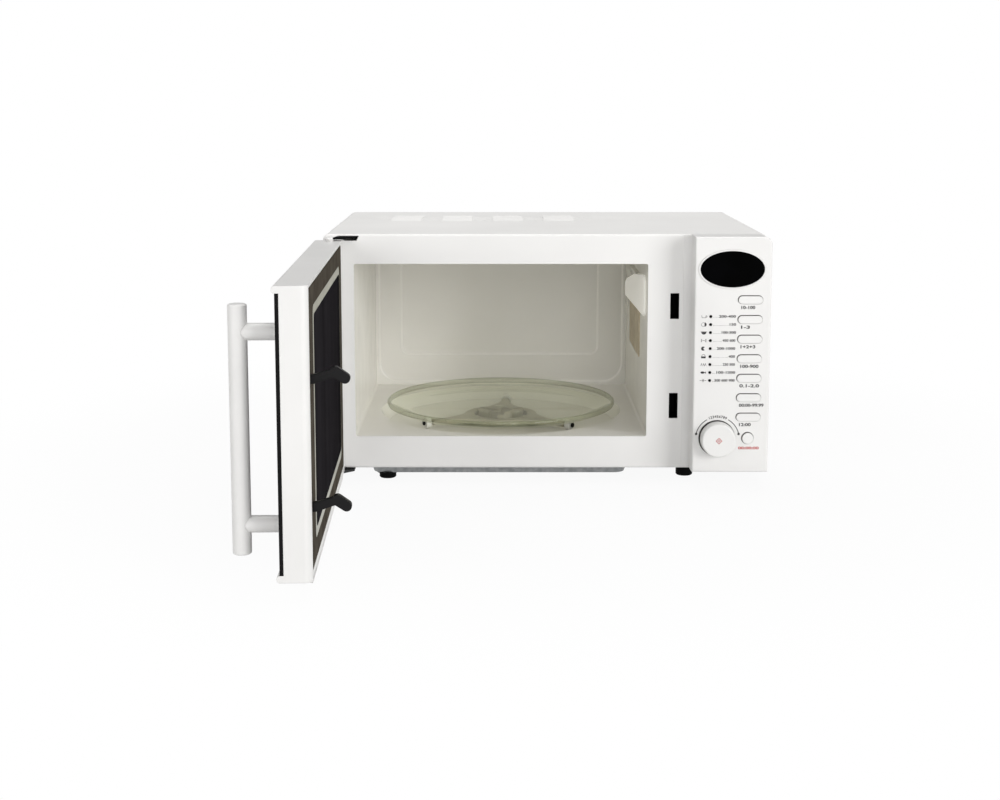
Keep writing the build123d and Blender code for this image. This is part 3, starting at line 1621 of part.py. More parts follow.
with BuildPart() as window_pane:
    with BuildSketch(door_face(pane_floor + pane_thickness)):
        with Locations(seal_mid):
            Rectangle(pane_size[0] - 2 * key_gap, pane_size[1] - 2 * key_gap)
    extrude(amount=pane_thickness)
save(window_pane, "window_pane")

# Latch piece: an upright bar inside the door carrying two hooks with drooping noses
bar_gap = 1.0
bar_depth = (door_skin + bar_gap, -sheet - bar_gap)
bar_overrun = 8.0
bar_ends = (hook_heights[0] - bar_overrun, hook_heights[1] + bar_overrun)
hook_tip = door_inner + hook_reach
arm_half = 3.6
arm_root = door_inner + 2.0
nose_radius = 4.2
nose_x = hook_tip - nose_radius
nose_drop = 0.6
brow_x = hook_tip - 11.5
brow_z = 5.6
brow_radius = 4.4
brow_step = 1.2
spring_radius = 2.6
spring_bore = 1.8

with BuildPart() as latch_hook:
    with BuildSketch(door_section(hook_along - hook_thickness / 2)):
        with Locations((sum(bar_depth) / 2, sum(bar_ends) / 2)):
            Rectangle(bar_depth[1] - bar_depth[0], bar_ends[1] - bar_ends[0])
        for height in hook_heights:
            with Locations(((bar_depth[0] + arm_root) / 2, height)):
                Rectangle(arm_root - bar_depth[0], 2 * arm_half)
            with BuildSketch(mode=Mode.ADD):
                with Locations((arm_root, height)):
                    Circle(arm_half)
                with Locations((brow_x, height + brow_z)):
                    Circle(brow_radius - brow_step)
                make_hull()
            with BuildSketch(mode=Mode.ADD):
                with Locations((brow_x, height + brow_z)):
                    Circle(brow_radius)
                with Locations((nose_x, height + nose_drop)):
                    Circle(nose_radius)
                make_hull()
    extrude(amount=hook_thickness)
save(latch_hook, "latch_hook")

with BuildPart() as latch_spring:
    with BuildSketch(door_level(rim_bottom)):
        with Locations((hook_along, sum(bar_depth) / 2)):
            Circle(spring_radius)
            Circle(spring_bore, mode=Mode.SUBTRACT)
    extrude(amount=bar_ends[0] - rim_bottom)
save(latch_spring, "latch_spring")

# Handle: round bar on two posts with collars, held by screws from inside the door
post_screw = 12.0
post_collar = 1.0
collar_length = 2.5
handle_round = 1.2
screw_tip_gap = 1.0
handle_bottom = door_mid_z - handle_drop - handle_length / 2

with BuildPart() as handle_bar:
    with BuildSketch(door_level(handle_bottom)):
        with Locations((handle_along, handle_depth)):
            Circle(handle_radius)
    extrude(amount=handle_length)
    fillet(edges().filter_by(GeomType.CIRCLE), handle_round)
save(handle_bar, "handle_bar")

with BuildPart() as handle_posts:
    with BuildSketch(door_face(glass_front)):
        with Locations(*post_sites_door):
            Circle(post_radius)
    extrude(amount=glass_front - handle_depth)
    with BuildSketch(door_face(glass_front)):
        with Locations(*post_sites_door):
            Circle(post_radius + post_collar)
    extrude(amount=collar_length)
    with BuildSketch(door_level(door_bottom)):
        with Locations((handle_along, handle_depth)):
            Circle(handle_radius + running_gap / 2)
    extrude(amount=door_height, mode=Mode.SUBTRACT)
    with BuildSketch(door_face(glass_front)):
        with Locations(*post_sites_door):
            Circle(screw_radius)
    extrude(amount=post_screw, mode=Mode.SUBTRACT)
save(handle_posts, "handle_posts")

with BuildPart() as handle_screws:
    with BuildSketch(door_face(door_skin)):
        with Locations(*post_sites_door):
            Circle(screw_head)
    extrude(amount=-screw_rise)
    with BuildSketch(door_face(door_skin)):
        with Locations(*post_sites_door):
            Circle(screw_radius - running_gap)
    extrude(amount=door_skin - glass_front + post_screw - screw_tip_gap)
save(handle_screws, "handle_screws")
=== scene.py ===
import json
import math

import bmesh
import bpy
from mathutils import Matrix, Vector


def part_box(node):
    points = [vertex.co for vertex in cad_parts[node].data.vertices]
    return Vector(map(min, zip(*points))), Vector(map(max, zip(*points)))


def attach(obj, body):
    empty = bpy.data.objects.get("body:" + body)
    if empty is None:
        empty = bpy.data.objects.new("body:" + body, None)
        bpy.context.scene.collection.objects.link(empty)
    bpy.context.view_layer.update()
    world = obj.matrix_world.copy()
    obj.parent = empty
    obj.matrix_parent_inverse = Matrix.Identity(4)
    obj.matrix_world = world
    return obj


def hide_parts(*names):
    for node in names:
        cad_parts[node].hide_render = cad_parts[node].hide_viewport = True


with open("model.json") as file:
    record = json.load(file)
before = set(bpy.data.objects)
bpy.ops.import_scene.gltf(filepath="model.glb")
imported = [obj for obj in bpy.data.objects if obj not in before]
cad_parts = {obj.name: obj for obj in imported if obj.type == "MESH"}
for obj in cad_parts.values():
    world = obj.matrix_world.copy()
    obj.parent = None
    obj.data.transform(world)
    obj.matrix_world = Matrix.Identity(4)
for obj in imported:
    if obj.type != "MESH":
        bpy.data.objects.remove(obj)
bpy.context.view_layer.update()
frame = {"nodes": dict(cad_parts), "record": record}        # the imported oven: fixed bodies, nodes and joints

cadNodes = frame["nodes"]
print("frame loaded,", len(cadNodes), "pieces")

mm = 0.001  # the oven is drawn in metres


# Small helpers for objects and node trees

def newObject(name, data):
    made = bpy.data.objects.new(name, data)
    bpy.context.scene.collection.objects.link(made)
    return made


def evaluatedMesh(holder):
    bpy.context.view_layer.update()
    return bpy.data.meshes.new_from_object(holder.evaluated_get(bpy.context.evaluated_depsgraph_get()))


def newFinish(name):
    material = bpy.data.materials.new(name)
    material.use_nodes = True
    tree = material.node_tree
    return material, tree, tree.nodes["Principled BSDF"]


def addNode(tree, kind, **settings):
    node = tree.nodes.new(kind)
    for key, value in settings.items():
        if hasattr(node, key):
            setattr(node, key, value)
        else:
            node.inputs[key.replace("_", " ")].default_value = value
    return node


def linkNodes(tree, *links):
    for source, outName, target, inName in links:
        tree.links.new(source.outputs[outName], target.inputs[inName])


def objectNoise(tree, scale, detail=3.0, stretch=(1, 1, 1)):
    place = addNode(tree, "ShaderNodeTexCoord")
    mapping = addNode(tree, "ShaderNodeMapping", Scale=stretch)
    noise = addNode(tree, "ShaderNodeTexNoise", Scale=scale, Detail=detail)
    linkNodes(tree, (place, "Object", mapping, "Vector"), (mapping, "Vector", noise, "Vector"))
    return noise


rampEnds = (0.35, 0.65)


def rampBetween(tree, source, low, high):
    ramp = addNode(tree, "ShaderNodeValToRGB")
    for index, colour in enumerate((low, high)):
        ramp.color_ramp.elements[index].position = rampEnds[index]
        ramp.color_ramp.elements[index].color = (*colour, 1)
    linkNodes(tree, (source, "Fac", ramp, "Fac"))
    return ramp


def linear(r, g, b):
    return tuple(((c / 255 + 0.055) / 1.055) ** 2.4 if c > 10 else c / 255 / 12.92 for c in (r, g, b))


# Finishes: tint (dark, light, scale), roughness (low, high, scale) and grain (scale, strength, depth)

def grainedFinish(name, look):
    material, tree, shader = newFinish(name)
    dark, light, tintScale = look["tint"]
    low, high, roughScale = look["rough"]
    grainScale, strength, depth = look["grain"]
    stretch = look.get("stretch", (1, 1, 1))
    tint = objectNoise(tree, tintScale, stretch=look.get("tintStretch", (1, 1, 1)))
    colour = rampBetween(tree, tint, linear(*dark), linear(*light))
    wander = objectNoise(tree, roughScale, 2.0, stretch)
    rough = addNode(tree, "ShaderNodeMapRange", To_Min=low, To_Max=high)
    grain = objectNoise(tree, grainScale, 2.0, stretch)
    bump = addNode(tree, "ShaderNodeBump", Strength=strength, Distance=depth)
    linkNodes(
        tree, (colour, "Color", shader, "Base Color"), (wander, "Fac", rough, "Value"),
        (rough, "Result", shader, "Roughness"), (grain, "Fac", bump, "Height"),
        (bump, "Normal", shader, "Normal"),
    )
    if "edge" in look:
        soft = addNode(tree, "ShaderNodeBevel", samples=4, Radius=look["edge"] * mm)
        linkNodes(tree, (soft, "Normal", bump, "Normal"))
    for key, value in look.get("shader", {}).items():
        shader.inputs[key].default_value = value
    return material


def glow(strength):
    return {"Emission Color": (1, 0.98, 0.93, 1), "Emission Strength": strength}


def shine(level):
    return {"Specular IOR Level": level}


inkGrain = (1800.0, 0.05, 0.0001)
glassGrain = (300.0, 0.01, 0.0001)
hookGrain = (1500.0, 0.12, 0.0002)
cavityLook = {
    "tint": ((245, 243, 236), (250, 248, 242), 7.0), "rough": (0.18, 0.26, 25.0),
    "grain": (900.0, 0.06, 0.0002),
}
whiteEnamel = grainedFinish("whiteEnamel", {
    "tint": ((231, 230, 228), (236, 235, 233), 6.0), "rough": (0.42, 0.5, 30.0),
    "grain": (1400.0, 0.06, 0.0002), "edge": 0.6, "shader": shine(0.03),
})
whiteMoulding = grainedFinish("whiteMoulding", {
    "tint": ((223, 222, 220), (228, 227, 225), 9.0), "rough": (0.34, 0.42, 60.0),
    "grain": (2600.0, 0.05, 0.0001),
    "edge": 0.7, "shader": {"Subsurface Weight": 0.05, "Subsurface Radius": (0.002, 0.002, 0.002)},
})
cavityEnamel = grainedFinish("cavityEnamel", cavityLook)
# Painted highlight: the cavity enamel with a faint glow, for the sloped bands of the pressed steps
pressHighlightGlow = grainedFinish("pressHighlightGlow", {**cavityLook, "shader": glow(0.07)})
# Painted light: an enamel that glows, brightening the cover on the right wall of the cavity
lampPatchPaintedGlow = grainedFinish("lampPatchPaintedGlow", {
    "tint": ((236, 234, 226), (240, 238, 231), 7.0), "rough": (0.3, 0.4, 25.0),
    "grain": (900.0, 0.08, 0.0003), "shader": glow(0.22),
})
zincSheet = grainedFinish("zincSheet", {
    "tint": ((124, 126, 127), (144, 146, 146), 190.0), "rough": (0.35, 0.55, 90.0),
    "grain": (500.0, 0.05, 0.0002), "shader": {"Metallic": 0.9},
})
blackRubber = grainedFinish("blackRubber", {
    "tint": ((8, 8, 8), (13, 13, 13), 120.0), "rough": (0.6, 0.75, 200.0), "grain": (1800.0, 0.2, 0.0002),
    "shader": shine(0.05),
})
blackSteel = grainedFinish("blackSteel", {
    "tint": ((24, 24, 25), (34, 34, 35), 150.0), "rough": (0.35, 0.5, 150.0),
    "grain": (1500.0, 0.1, 0.0001), "shader": {"Metallic": 0.3},
})
blackNylon = grainedFinish("blackNylon", {
    "tint": ((24, 23, 24), (31, 30, 31), 90.0), "rough": (0.45, 0.55, 160.0), "grain": hookGrain,
    "edge": 0.8, "shader": shine(0.06),
})
hookNylon = grainedFinish("hookNylon", {
    "tint": ((7, 6, 7), (11, 10, 11), 90.0), "rough": (0.3, 0.4, 160.0), "grain": hookGrain,
    "edge": 0.9, "shader": shine(0.2),
})
inkLook = {"rough": (0.5, 0.6, 300.0), "grain": inkGrain}
inkBlack = grainedFinish("inkBlack", {**inkLook, "tint": ((34, 32, 33), (50, 48, 49), 260.0)})
inkRed = grainedFinish("inkRed", {**inkLook, "tint": ((172, 58, 56), (186, 72, 70), 260.0)})
# Painted shade: dark grey for the rings stamped round the keys, the stop key and the dial
gapShadeGrey = grainedFinish("gapShadeGrey", {
    "tint": ((54, 52, 50), (66, 64, 62), 120.0), "rough": (0.6, 0.7, 300.0), "grain": inkGrain,
    "shader": shine(0.1),
})
glossBlack = grainedFinish("glossBlack", {
    "tint": ((3, 3, 3), (5, 5, 6), 30.0), "rough": (0.04, 0.08, 60.0), "grain": glassGrain,
    "shader": shine(0.01),
})
doorGlass = grainedFinish("doorGlass", {
    "tint": ((5, 5, 6), (8, 8, 9), 12.0), "rough": (0.03, 0.06, 20.0), "grain": glassGrain,
    "shader": shine(0.13),
})
doorDots = grainedFinish("doorDots", {
    "tint": ((27, 27, 28), (33, 33, 34), 12.0), "rough": (0.03, 0.06, 20.0), "grain": glassGrain,
    "shader": shine(0.25),
})
boardGreen = grainedFinish("boardGreen", {
    "tint": ((28, 84, 48), (44, 110, 62), 400.0), "rough": (0.35, 0.5, 300.0),
    "grain": (700.0, 0.2, 0.0002),
})
nylonLook = {"rough": (0.4, 0.5, 90.0), "grain": (1500.0, 0.08, 0.0001)}
whiteNylon = grainedFinish("whiteNylon", {**nylonLook, "tint": ((224, 223, 218), (235, 234, 230), 50.0)})
warmNylon = grainedFinish("warmNylon", {**nylonLook, "tint": ((164, 158, 142), (180, 174, 158), 50.0)})
greyPlastic = grainedFinish("greyPlastic", {
    "tint": ((90, 90, 92), (108, 108, 110), 60.0), "rough": (0.45, 0.6, 90.0),
    "grain": (1500.0, 0.1, 0.0002),
})
copperWire = grainedFinish("copperWire", {
    "tint": ((120, 62, 30), (176, 98, 52), 200.0), "rough": (0.3, 0.45, 100.0),
    "grain": (60.0, 0.4, 0.0005), "stretch": (1, 1, 18), "shader": {"Metallic": 0.8},
})
drawnAluminium = grainedFinish("drawnAluminium", {
    "tint": ((196, 197, 199), (212, 213, 215), 20.0), "rough": (0.25, 0.4, 60.0),
    "grain": (200.0, 0.1, 0.0002), "stretch": (1, 12, 1), "shader": {"Metallic": 1.0},
})
micaSheet = grainedFinish("micaSheet", {
    "tint": ((190, 174, 144), (212, 198, 170), 90.0), "rough": (0.3, 0.55, 200.0),
    "grain": (260.0, 0.25, 0.0004),
})
heaterSheath = grainedFinish("heaterSheath", {
    "tint": ((66, 62, 58), (98, 92, 86), 60.0), "rough": (0.4, 0.6, 100.0), "grain": (700.0, 0.15, 0.0002),
    "shader": {"Metallic": 0.7},
})
sealEnamel = grainedFinish("sealEnamel", {
    "tint": ((165, 164, 153), (177, 176, 165), 20.0), "rough": (0.4, 0.5, 60.0),
    "grain": (1200.0, 0.08, 0.0002), "edge": 0.8, "shader": shine(0.15),
})
chokePlastic = grainedFinish("chokePlastic", {
    "tint": ((70, 65, 58), (84, 79, 71), 40.0), "rough": (0.55, 0.65, 120.0),
    "grain": (1500.0, 0.15, 0.0002), "edge": 0.6, "shader": shine(0.0),
})
# Painted reflection: the dark window tint is stretched into vertical light streaks
windowStreakReflections = grainedFinish("windowStreakReflections", {
    "tint": ((17, 16, 17), (42, 40, 43), 18.0), "tintStretch": (1, 1, 0.03), "rough": (0.08, 0.14, 60.0),
    "grain": glassGrain, "shader": shine(0.0),
})
holeGrey = grainedFinish("holeGrey", {
    "tint": ((38, 36, 38), (46, 44, 46), 25.0), "rough": (0.3, 0.4, 60.0), "grain": glassGrain,
    "shader": shine(0.0),
})


# Clear glass that mirrors a little from the front and greens towards its edges

clearGlass = {
    "tintScale": 30.0, "rough": 0.06, "clear": (0.95, 0.957, 0.915, 1), "gloss": (0.93, 0.94, 0.88, 1),
    "glossy": 0.03, "mirror": 1.22,
}


def glassFinish(name, look):
    material, tree, shader = newFinish(name)
    tint = objectNoise(tree, clearGlass["tintScale"], 2.0)
    colour = rampBetween(tree, tint, look["dark"], look["light"])
    shader.inputs["Roughness"].default_value = clearGlass["rough"]
    clear = addNode(tree, "ShaderNodeBsdfTransparent", Color=clearGlass["clear"])
    gloss = addNode(tree, "ShaderNodeBsdfGlossy", Color=clearGlass["gloss"], Roughness=clearGlass["glossy"])
    mirror = addNode(tree, "ShaderNodeFresnel", IOR=clearGlass["mirror"])
    side = addNode(tree, "ShaderNodeNewGeometry")
    front = addNode(tree, "ShaderNodeMath", operation="SUBTRACT")
    front.inputs[0].default_value = 1.0
    gleam = addNode(tree, "ShaderNodeMath", operation="MULTIPLY")
    facing = addNode(tree, "ShaderNodeLayerWeight", Blend=0.5)
    rim = addNode(
        tree, "ShaderNodeMapRange", From_Min=look["edgeFrom"], To_Min=look["body"], To_Max=look["edge"],
    )
    path = addNode(tree, "ShaderNodeLightPath")
    either = addNode(tree, "ShaderNodeMath", operation="MAXIMUM")
    body, edged, mix = [addNode(tree, "ShaderNodeMixShader") for _ in range(3)]
    linkNodes(
        tree, (colour, "Color", shader, "Base Color"), (side, "Backfacing", front, 1),
        (mirror, "Fac", gleam, 0),
        (front, 0, gleam, 1), (gleam, 0, body, "Fac"), (clear, 0, body, 1), (gloss, 0, body, 2),
        (facing, "Facing", rim, "Value"), (rim, "Result", edged, "Fac"), (body, 0, edged, 1),
        (shader, 0, edged, 2),
        (path, "Is Shadow Ray", either, 0), (path, "Is Diffuse Ray", either, 1), (either, 0, mix, "Fac"),
        (edged, 0, mix, 1), (clear, 0, mix, 2), (mix, 0, tree.nodes["Material Output"], "Surface"),
    )
    return material


trayGlass = glassFinish("trayGlass", {
    "dark": (0.38, 0.4, 0.26), "light": (0.44, 0.46, 0.31), "edgeFrom": 0.87, "body": 0.0, "edge": 0.8,
})
rimGlass = glassFinish("rimGlass", {
    "dark": (0.3, 0.32, 0.19), "light": (0.36, 0.38, 0.24), "edgeFrom": 0.35, "body": 0.3, "edge": 0.85,
})

slotFinish = {
    "white_enamel": whiteEnamel, "cavity_enamel": cavityEnamel, "zinc_steel": zincSheet,
    "white_plastic": whiteMoulding, "black_rubber": blackRubber, "black_steel": blackSteel,
    "black_plastic": blackNylon, "display_black": glossBlack, "light_black": blackNylon,
    "board_green": boardGreen, "white_nylon": whiteNylon, "grey_plastic": greyPlastic,
    "copper_winding": copperWire, "can_aluminium": drawnAluminium, "mica": micaSheet,
    "tray_glass": trayGlass, "heater_sheath": heaterSheath, "black_glass": doorGlass,
    "black_pane": windowStreakReflections, "seal_grey": sealEnamel, "choke_brown": chokePlastic,
}
slotOf = {entry["node"]: entry["material_slot"] for entry in frame["record"]["subparts"]}
bodyOf = {}
for bodyName, bodyNodes in frame["record"]["behaviour"]["bodies"].items():
    for nodeName in bodyNodes:
        bodyOf[nodeName] = bodyName
nodeFinish = {node: slotFinish[slot] for node, slot in slotOf.items()}
# Painted shade: the latch body is made black for the deep shade inside its slots
nodeFinish["latch_body"] = blackRubber  # deep in its slots, so it reads as black
for nodeName, finish in nodeFinish.items():
    cadNodes[nodeName].data.materials.clear()
    cadNodes[nodeName].data.materials.append(finish)
print("finishes set")


# Pieces: a mesh made from loose faces, placed on its body in place of a node or beside it

def softNormals(mesh, limit):
    faceNormals = [polygon.normal.copy() for polygon in mesh.polygons]
    weights = [polygon.area for polygon in mesh.polygons]
    around = [[] for _ in mesh.vertices]
    for polygon in mesh.polygons:
        for corner in polygon.vertices:
            around[corner].append(polygon.index)
    bound = math.cos(math.radians(limit))
    loopNormals = []
    for polygon in mesh.polygons:
        own = faceNormals[polygon.index]
        for corner in polygon.vertices:
            total = Vector((0, 0, 0))
            for other in around[corner]:
                if own.dot(faceNormals[other]) > bound:
                    total += faceNormals[other] * weights[other]
            loopNormals.append(total.normalized() if total.length > 0 else own)
    for polygon in mesh.polygons:
        polygon.use_smooth = True
    mesh.normals_split_custom_set(loopNormals)


def flatMesh(name, work):
    bmesh.ops.recalc_face_normals(work, faces=work.faces)
    mesh = bpy.data.meshes.new(name)
    work.to_mesh(mesh)
    work.free()
    return mesh


def finishMesh(name, work, limit=32.0, weld=1e-7):
    bmesh.ops.remove_doubles(work, verts=work.verts, dist=weld)
    mesh = flatMesh(name, work)
    softNormals(mesh, limit)
    return mesh


def placePiece(name, mesh, body, finish):
    piece = newObject(name, mesh)
    mesh.materials.clear()
    mesh.materials.append(finish)
    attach(piece, body)
    return piece


def replaceNode(name, mesh, node):
    piece = placePiece(name, mesh, bodyOf[node], slotFinish[slotOf[node]])
    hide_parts(node)
    return piece


def paintWhere(mesh, finish, holds):
    mesh.materials.append(finish)
    for polygon in mesh.polygons:
        if holds(polygon):
            polygon.material_index = 1


def middleOf(node):
    low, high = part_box(node)
    return (low + high) / 2


# Fine copies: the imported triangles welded, with soft normals across their curved faces

def fineCopy(nodeName, limit=32.0):
    work = bmesh.new()
    work.from_mesh(cadNodes[nodeName].data)
    mesh = finishMesh(nodeName + "Fine", work, limit, 2e-6)
    return replaceNode(nodeName + "Fine", mesh, nodeName).data


curvedNodes = (
    "outer_wrapper", "front_frame", "cavity_floor", "base_plate", "back_panel", "cord_inlet", "lower_hinge",
    "control_panel", "display_window", "power_key", "grill_key", "combi_key", "weight_key", "defrost_key",
    "timer_key", "clock_key", "stop_key", "indicator_lights", "door_frame", "door_screen", "grill_element",
    "fan_blade", "fan_shroud", "magnetron", "capacitor", "transformer_windings", "cavity_wrap",
)
for nodeName in curvedNodes:
    fineCopy(nodeName)

axleEnds = {"middle": (-45.0, -4.0), "from": 85.0}
hingeNotchShade = {"fromX": -214.0}


def onAxleEnd(polygon):
    reach = (polygon.center / mm).xy - Vector(axleEnds["middle"])
    return reach.length > axleEnds["from"]


def inHingeNotchShade(polygon):
    return (polygon.center / mm).x > hingeNotchShade["fromX"]


spider = fineCopy("roller_spider")
paintWhere(spider, blackNylon, onAxleEnd)
spider.materials[0] = warmNylon
fineCopy("turntable_coupler").materials[0] = warmNylon
fineCopy("latch_hook").materials[0] = hookNylon
# Painted shade: the part of the upper hinge leaf inside the notch is black, for the deep shade there
paintWhere(fineCopy("upper_hinge"), blackRubber, inHingeNotchShade)
print("fine copies made,", len(curvedNodes) + 4)


# Shapes drawn in millimetres: turned profiles, arcs, rounded loops and the skins between them

def lathe(profile, origin, axis, steps):
    work = bmesh.new()
    axis = Vector(axis).normalized()
    side = axis.orthogonal().normalized()
    across = axis.cross(side)
    rings = []
    for radius, along in profile:
        base = Vector(origin) + axis * (along * mm)
        if radius * mm < 1e-7:
            rings.append([work.verts.new(base)])
            continue
        ring = []
        for step in range(steps):
            turn = 2 * math.pi * step / steps
            away = side * math.cos(turn) + across * math.sin(turn)
            ring.append(work.verts.new(base + away * (radius * mm)))
        rings.append(ring)
    for low, high in zip(rings, rings[1:]):
        for step in range(steps):
            after = (step + 1) % steps
            corners = [low[step % len(low)], low[after % len(low)]]
            corners += [high[after % len(high)], high[step % len(high)]]
            unique = list(dict.fromkeys(corners))
            if len(unique) > 2:
                work.faces.new(unique)
    return work


def turnedPiece(name, node, work, limit=32.0):
    return replaceNode(name, finishMesh(name, work, limit), node)


def arcPoints(centre, radius, start, end, count):
    points = []
    for step in range(count + 1):
        turn = math.radians(start + (end - start) * step / count)
        points.append((centre[0] + radius * math.cos(turn), centre[1] + radius * math.sin(turn)))
    return points


def roundedLoop(sides, grow, corner, steps):
    left, right, bottom, top = sides
    left, right, bottom, top = left + grow, right - grow, bottom + grow, top - grow
    loop = []
    for x, z, start in (
        (right - corner, top - corner, 0), (left + corner, top - corner, 90),
        (left + corner, bottom + corner, 180), (right - corner, bottom + corner, 270),
    ):
        loop += arcPoints((x, z), corner, start, start + 90, steps)
    return loop


def ringBetween(work, first, second):
    count = len(first)
    for step in range(count):
        after = (step + 1) % count
        work.faces.new((first[step], first[after], second[after], second[step]))


def skinOver(work, rings):
    for first, second in zip(rings, rings[1:]):
        ringBetween(work, first, second)


# Choke cover on the inside of the door: a raised brown frame round the seal, with slots for the hooks

door = {"hinge": (-217.0, -159.0), "open": 88.2}
choke = {
    "outer": (7.3, 357.8, 22.4, 249.0), "outerCorner": 3.0, "inner": (31.0, 323.0, 38.5, 231.0),
    "corner": 9.0,
    "steps": 8, "back": 5.0, "face": 10.8, "edge": 0.7, "edgeShare": 0.3, "slot": (344.6, 352.4),
    "slotZ": ((66.0, 87.4), (169.5, 190.9)), "cutDepth": (0.0, 20.0),
}


def doorPlace(along, inward, height):
    turn = math.radians(door["open"])
    x = door["hinge"][0] + along * math.cos(turn) + inward * math.sin(turn)
    y = door["hinge"][1] - along * math.sin(turn) + inward * math.cos(turn)
    return Vector((x, y, height)) * mm


def doorRing(work, loop, inward):
    return [work.verts.new(doorPlace(x, inward, z)) for x, z in loop]


def makeChoke():
    work = bmesh.new()
    edge = choke["edge"]
    bit = edge * choke["edgeShare"]
    face = choke["face"]
    section = ((0, choke["back"]), (0, face - edge), (bit, face - bit), (edge, face))
    rings = []
    for grow, inward in section:
        loop = roundedLoop(choke["outer"], grow, choke["outerCorner"], choke["steps"])
        rings.append(doorRing(work, loop, inward))
    for grow, inward in section[::-1]:
        loop = roundedLoop(choke["inner"], -grow, choke["corner"], choke["steps"])
        rings.append(doorRing(work, loop, inward))
    skinOver(work, rings + rings[:1])
    cover = newObject("chokeCutting", finishMesh("chokeCover", work, 40.0))
    cutter = bmesh.new()
    for heights in choke["slotZ"]:
        corners = []
        for along in choke["slot"]:
            for inward in choke["cutDepth"]:
                corners += doorRing(cutter, [(along, height) for height in heights], inward)
        bmesh.ops.convex_hull(cutter, input=corners)
    cutPiece = newObject("hookSlots", flatMesh("hookSlots", cutter))
    cut = cover.modifiers.new("slots", "BOOLEAN")
    cut.operation = "DIFFERENCE"
    cut.object = cutPiece
    done = evaluatedMesh(cover)
    done.name = "chokeCover"
    bpy.data.objects.remove(cover)
    bpy.data.objects.remove(cutPiece)
    softNormals(done, 40.0)
    replaceNode("chokeCover", done, "choke_cover")


makeChoke()


# Dark pane over the window, lapping the seal a little, and the pale sill along the bottom of the door

pane = {
    "sides": (33.0, 313.0, 45.5, 223.5), "corner": 6.0, "back": 7.0, "face": 10.65, "edge": 0.4, "steps": 8,
}
sill = {"along": (22.5, 356.5), "z": (12.6, 21.8), "inward": (5.2, 11.0), "round": 0.8, "steps": 4}


def makePane():
    work = bmesh.new()
    rings = []
    for grow, inward in ((0, pane["back"]), (0, pane["face"] - pane["edge"]), (pane["edge"], pane["face"])):
        rings.append(doorRing(work, roundedLoop(pane["sides"], grow, pane["corner"], pane["steps"]), inward))
    skinOver(work, rings)
    work.faces.new(rings[-1])
    work.faces.new(rings[0][::-1])
    turnedPiece("windowPane", "window_pane", work, 30.0)


def makeSill():
    work = bmesh.new()
    low, high = sill["z"]
    near, far = sill["inward"]
    soft = sill["round"]
    section = [(near, low + soft)]
    section += arcPoints((far - soft, low + soft), soft, -90, 0, sill["steps"])
    section += arcPoints((far - soft, high - soft), soft, 0, 90, sill["steps"])
    section += [(near, high)]
    loops = []
    for along in sill["along"]:
        loops.append([work.verts.new(doorPlace(along, inward, z)) for inward, z in section])
    ringBetween(work, loops[0], loops[1])
    work.faces.new(loops[0])
    work.faces.new(loops[1][::-1])
    placePiece("doorSill", finishMesh("doorSill", work, 40.0), "door", whiteMoulding)


makePane()
makeSill()


# Back of the cavity: a pressed sheet with two steps, their edges rolled as a press leaves them; the sloped
# bands of the steps glow faintly, a painted highlight

press = {
    "sides": (-197.0, 107.0, 48.0, 230.0), "corner": 4.0, "face": 138.0, "sheet": 1.0, "steps": 10,
    "cornerSteps": 14, "highlightBelow": 0.86, "highlightInset": 1.0, "levels": (
        {"sides": (-193.5, 103.5, 51.5, 226.5), "corner": 24.0, "depth": 1.9, "band": 3.6},
        {"sides": (-167.0, 74.0, 84.5, 205.0), "corner": 11.0, "depth": 2.1, "band": 3.6},
    ),
}


# Picks the sloped step bands that get the painted highlight glow
def onHighlightedStepBand(polygon):
    left, right, bottom, top = press["sides"]
    inset = press["highlightInset"]
    spot = polygon.center / mm
    inside = left + inset < spot.x < right - inset and bottom + inset < spot.z < top - inset
    return inside and abs(polygon.normal.y) < press["highlightBelow"]


def makeCavityBack():
    plan = [(roundedLoop(press["sides"], 0.0, press["corner"], press["cornerSteps"]), 0.0)]
    sunk = 0.0
    for level in press["levels"]:
        for step in range(press["steps"] + 1):
            share = step / press["steps"]
            grow = level["band"] * share
            sink = sunk + level["depth"] * (1 - math.cos(math.pi * share)) / 2
            loop = roundedLoop(level["sides"], grow, level["corner"] - grow, press["cornerSteps"])
            plan.append((loop, sink))
        sunk += level["depth"]
    work = bmesh.new()
    skins = []
    for back in (0.0, press["sheet"]):
        rings = []
        for loop, sink in plan:
            rings.append([work.verts.new(Vector((x, press["face"] + sink + back, z)) * mm) for x, z in loop])
        skinOver(work, rings)
        work.faces.new(rings[-1])
        skins.append(rings)
    ringBetween(work, skins[0][0], skins[1][0])
    paintWhere(turnedPiece("cavityBack", "cavity_back", work, 35.0).data, pressHighlightGlow, onHighlightedStepBand)


makeCavityBack()


# Frosted cover over the lamp field on the right wall; its finish glows, painted light that brightens this
# patch of the wall

lampCover = {
    "wall": 105.9, "rise": (1.8, 6.5), "bevel": ((0.0, 0.0), (0.8, 1.2), (0.95, 2.0), (1.0, 3.0)),
    "outline": (
        (74, 168), (74, 182.5), (54, 190), (-12, 203), (-105, 212), (-112, 206), (-112, 172), (-104, 168),
    ),
}


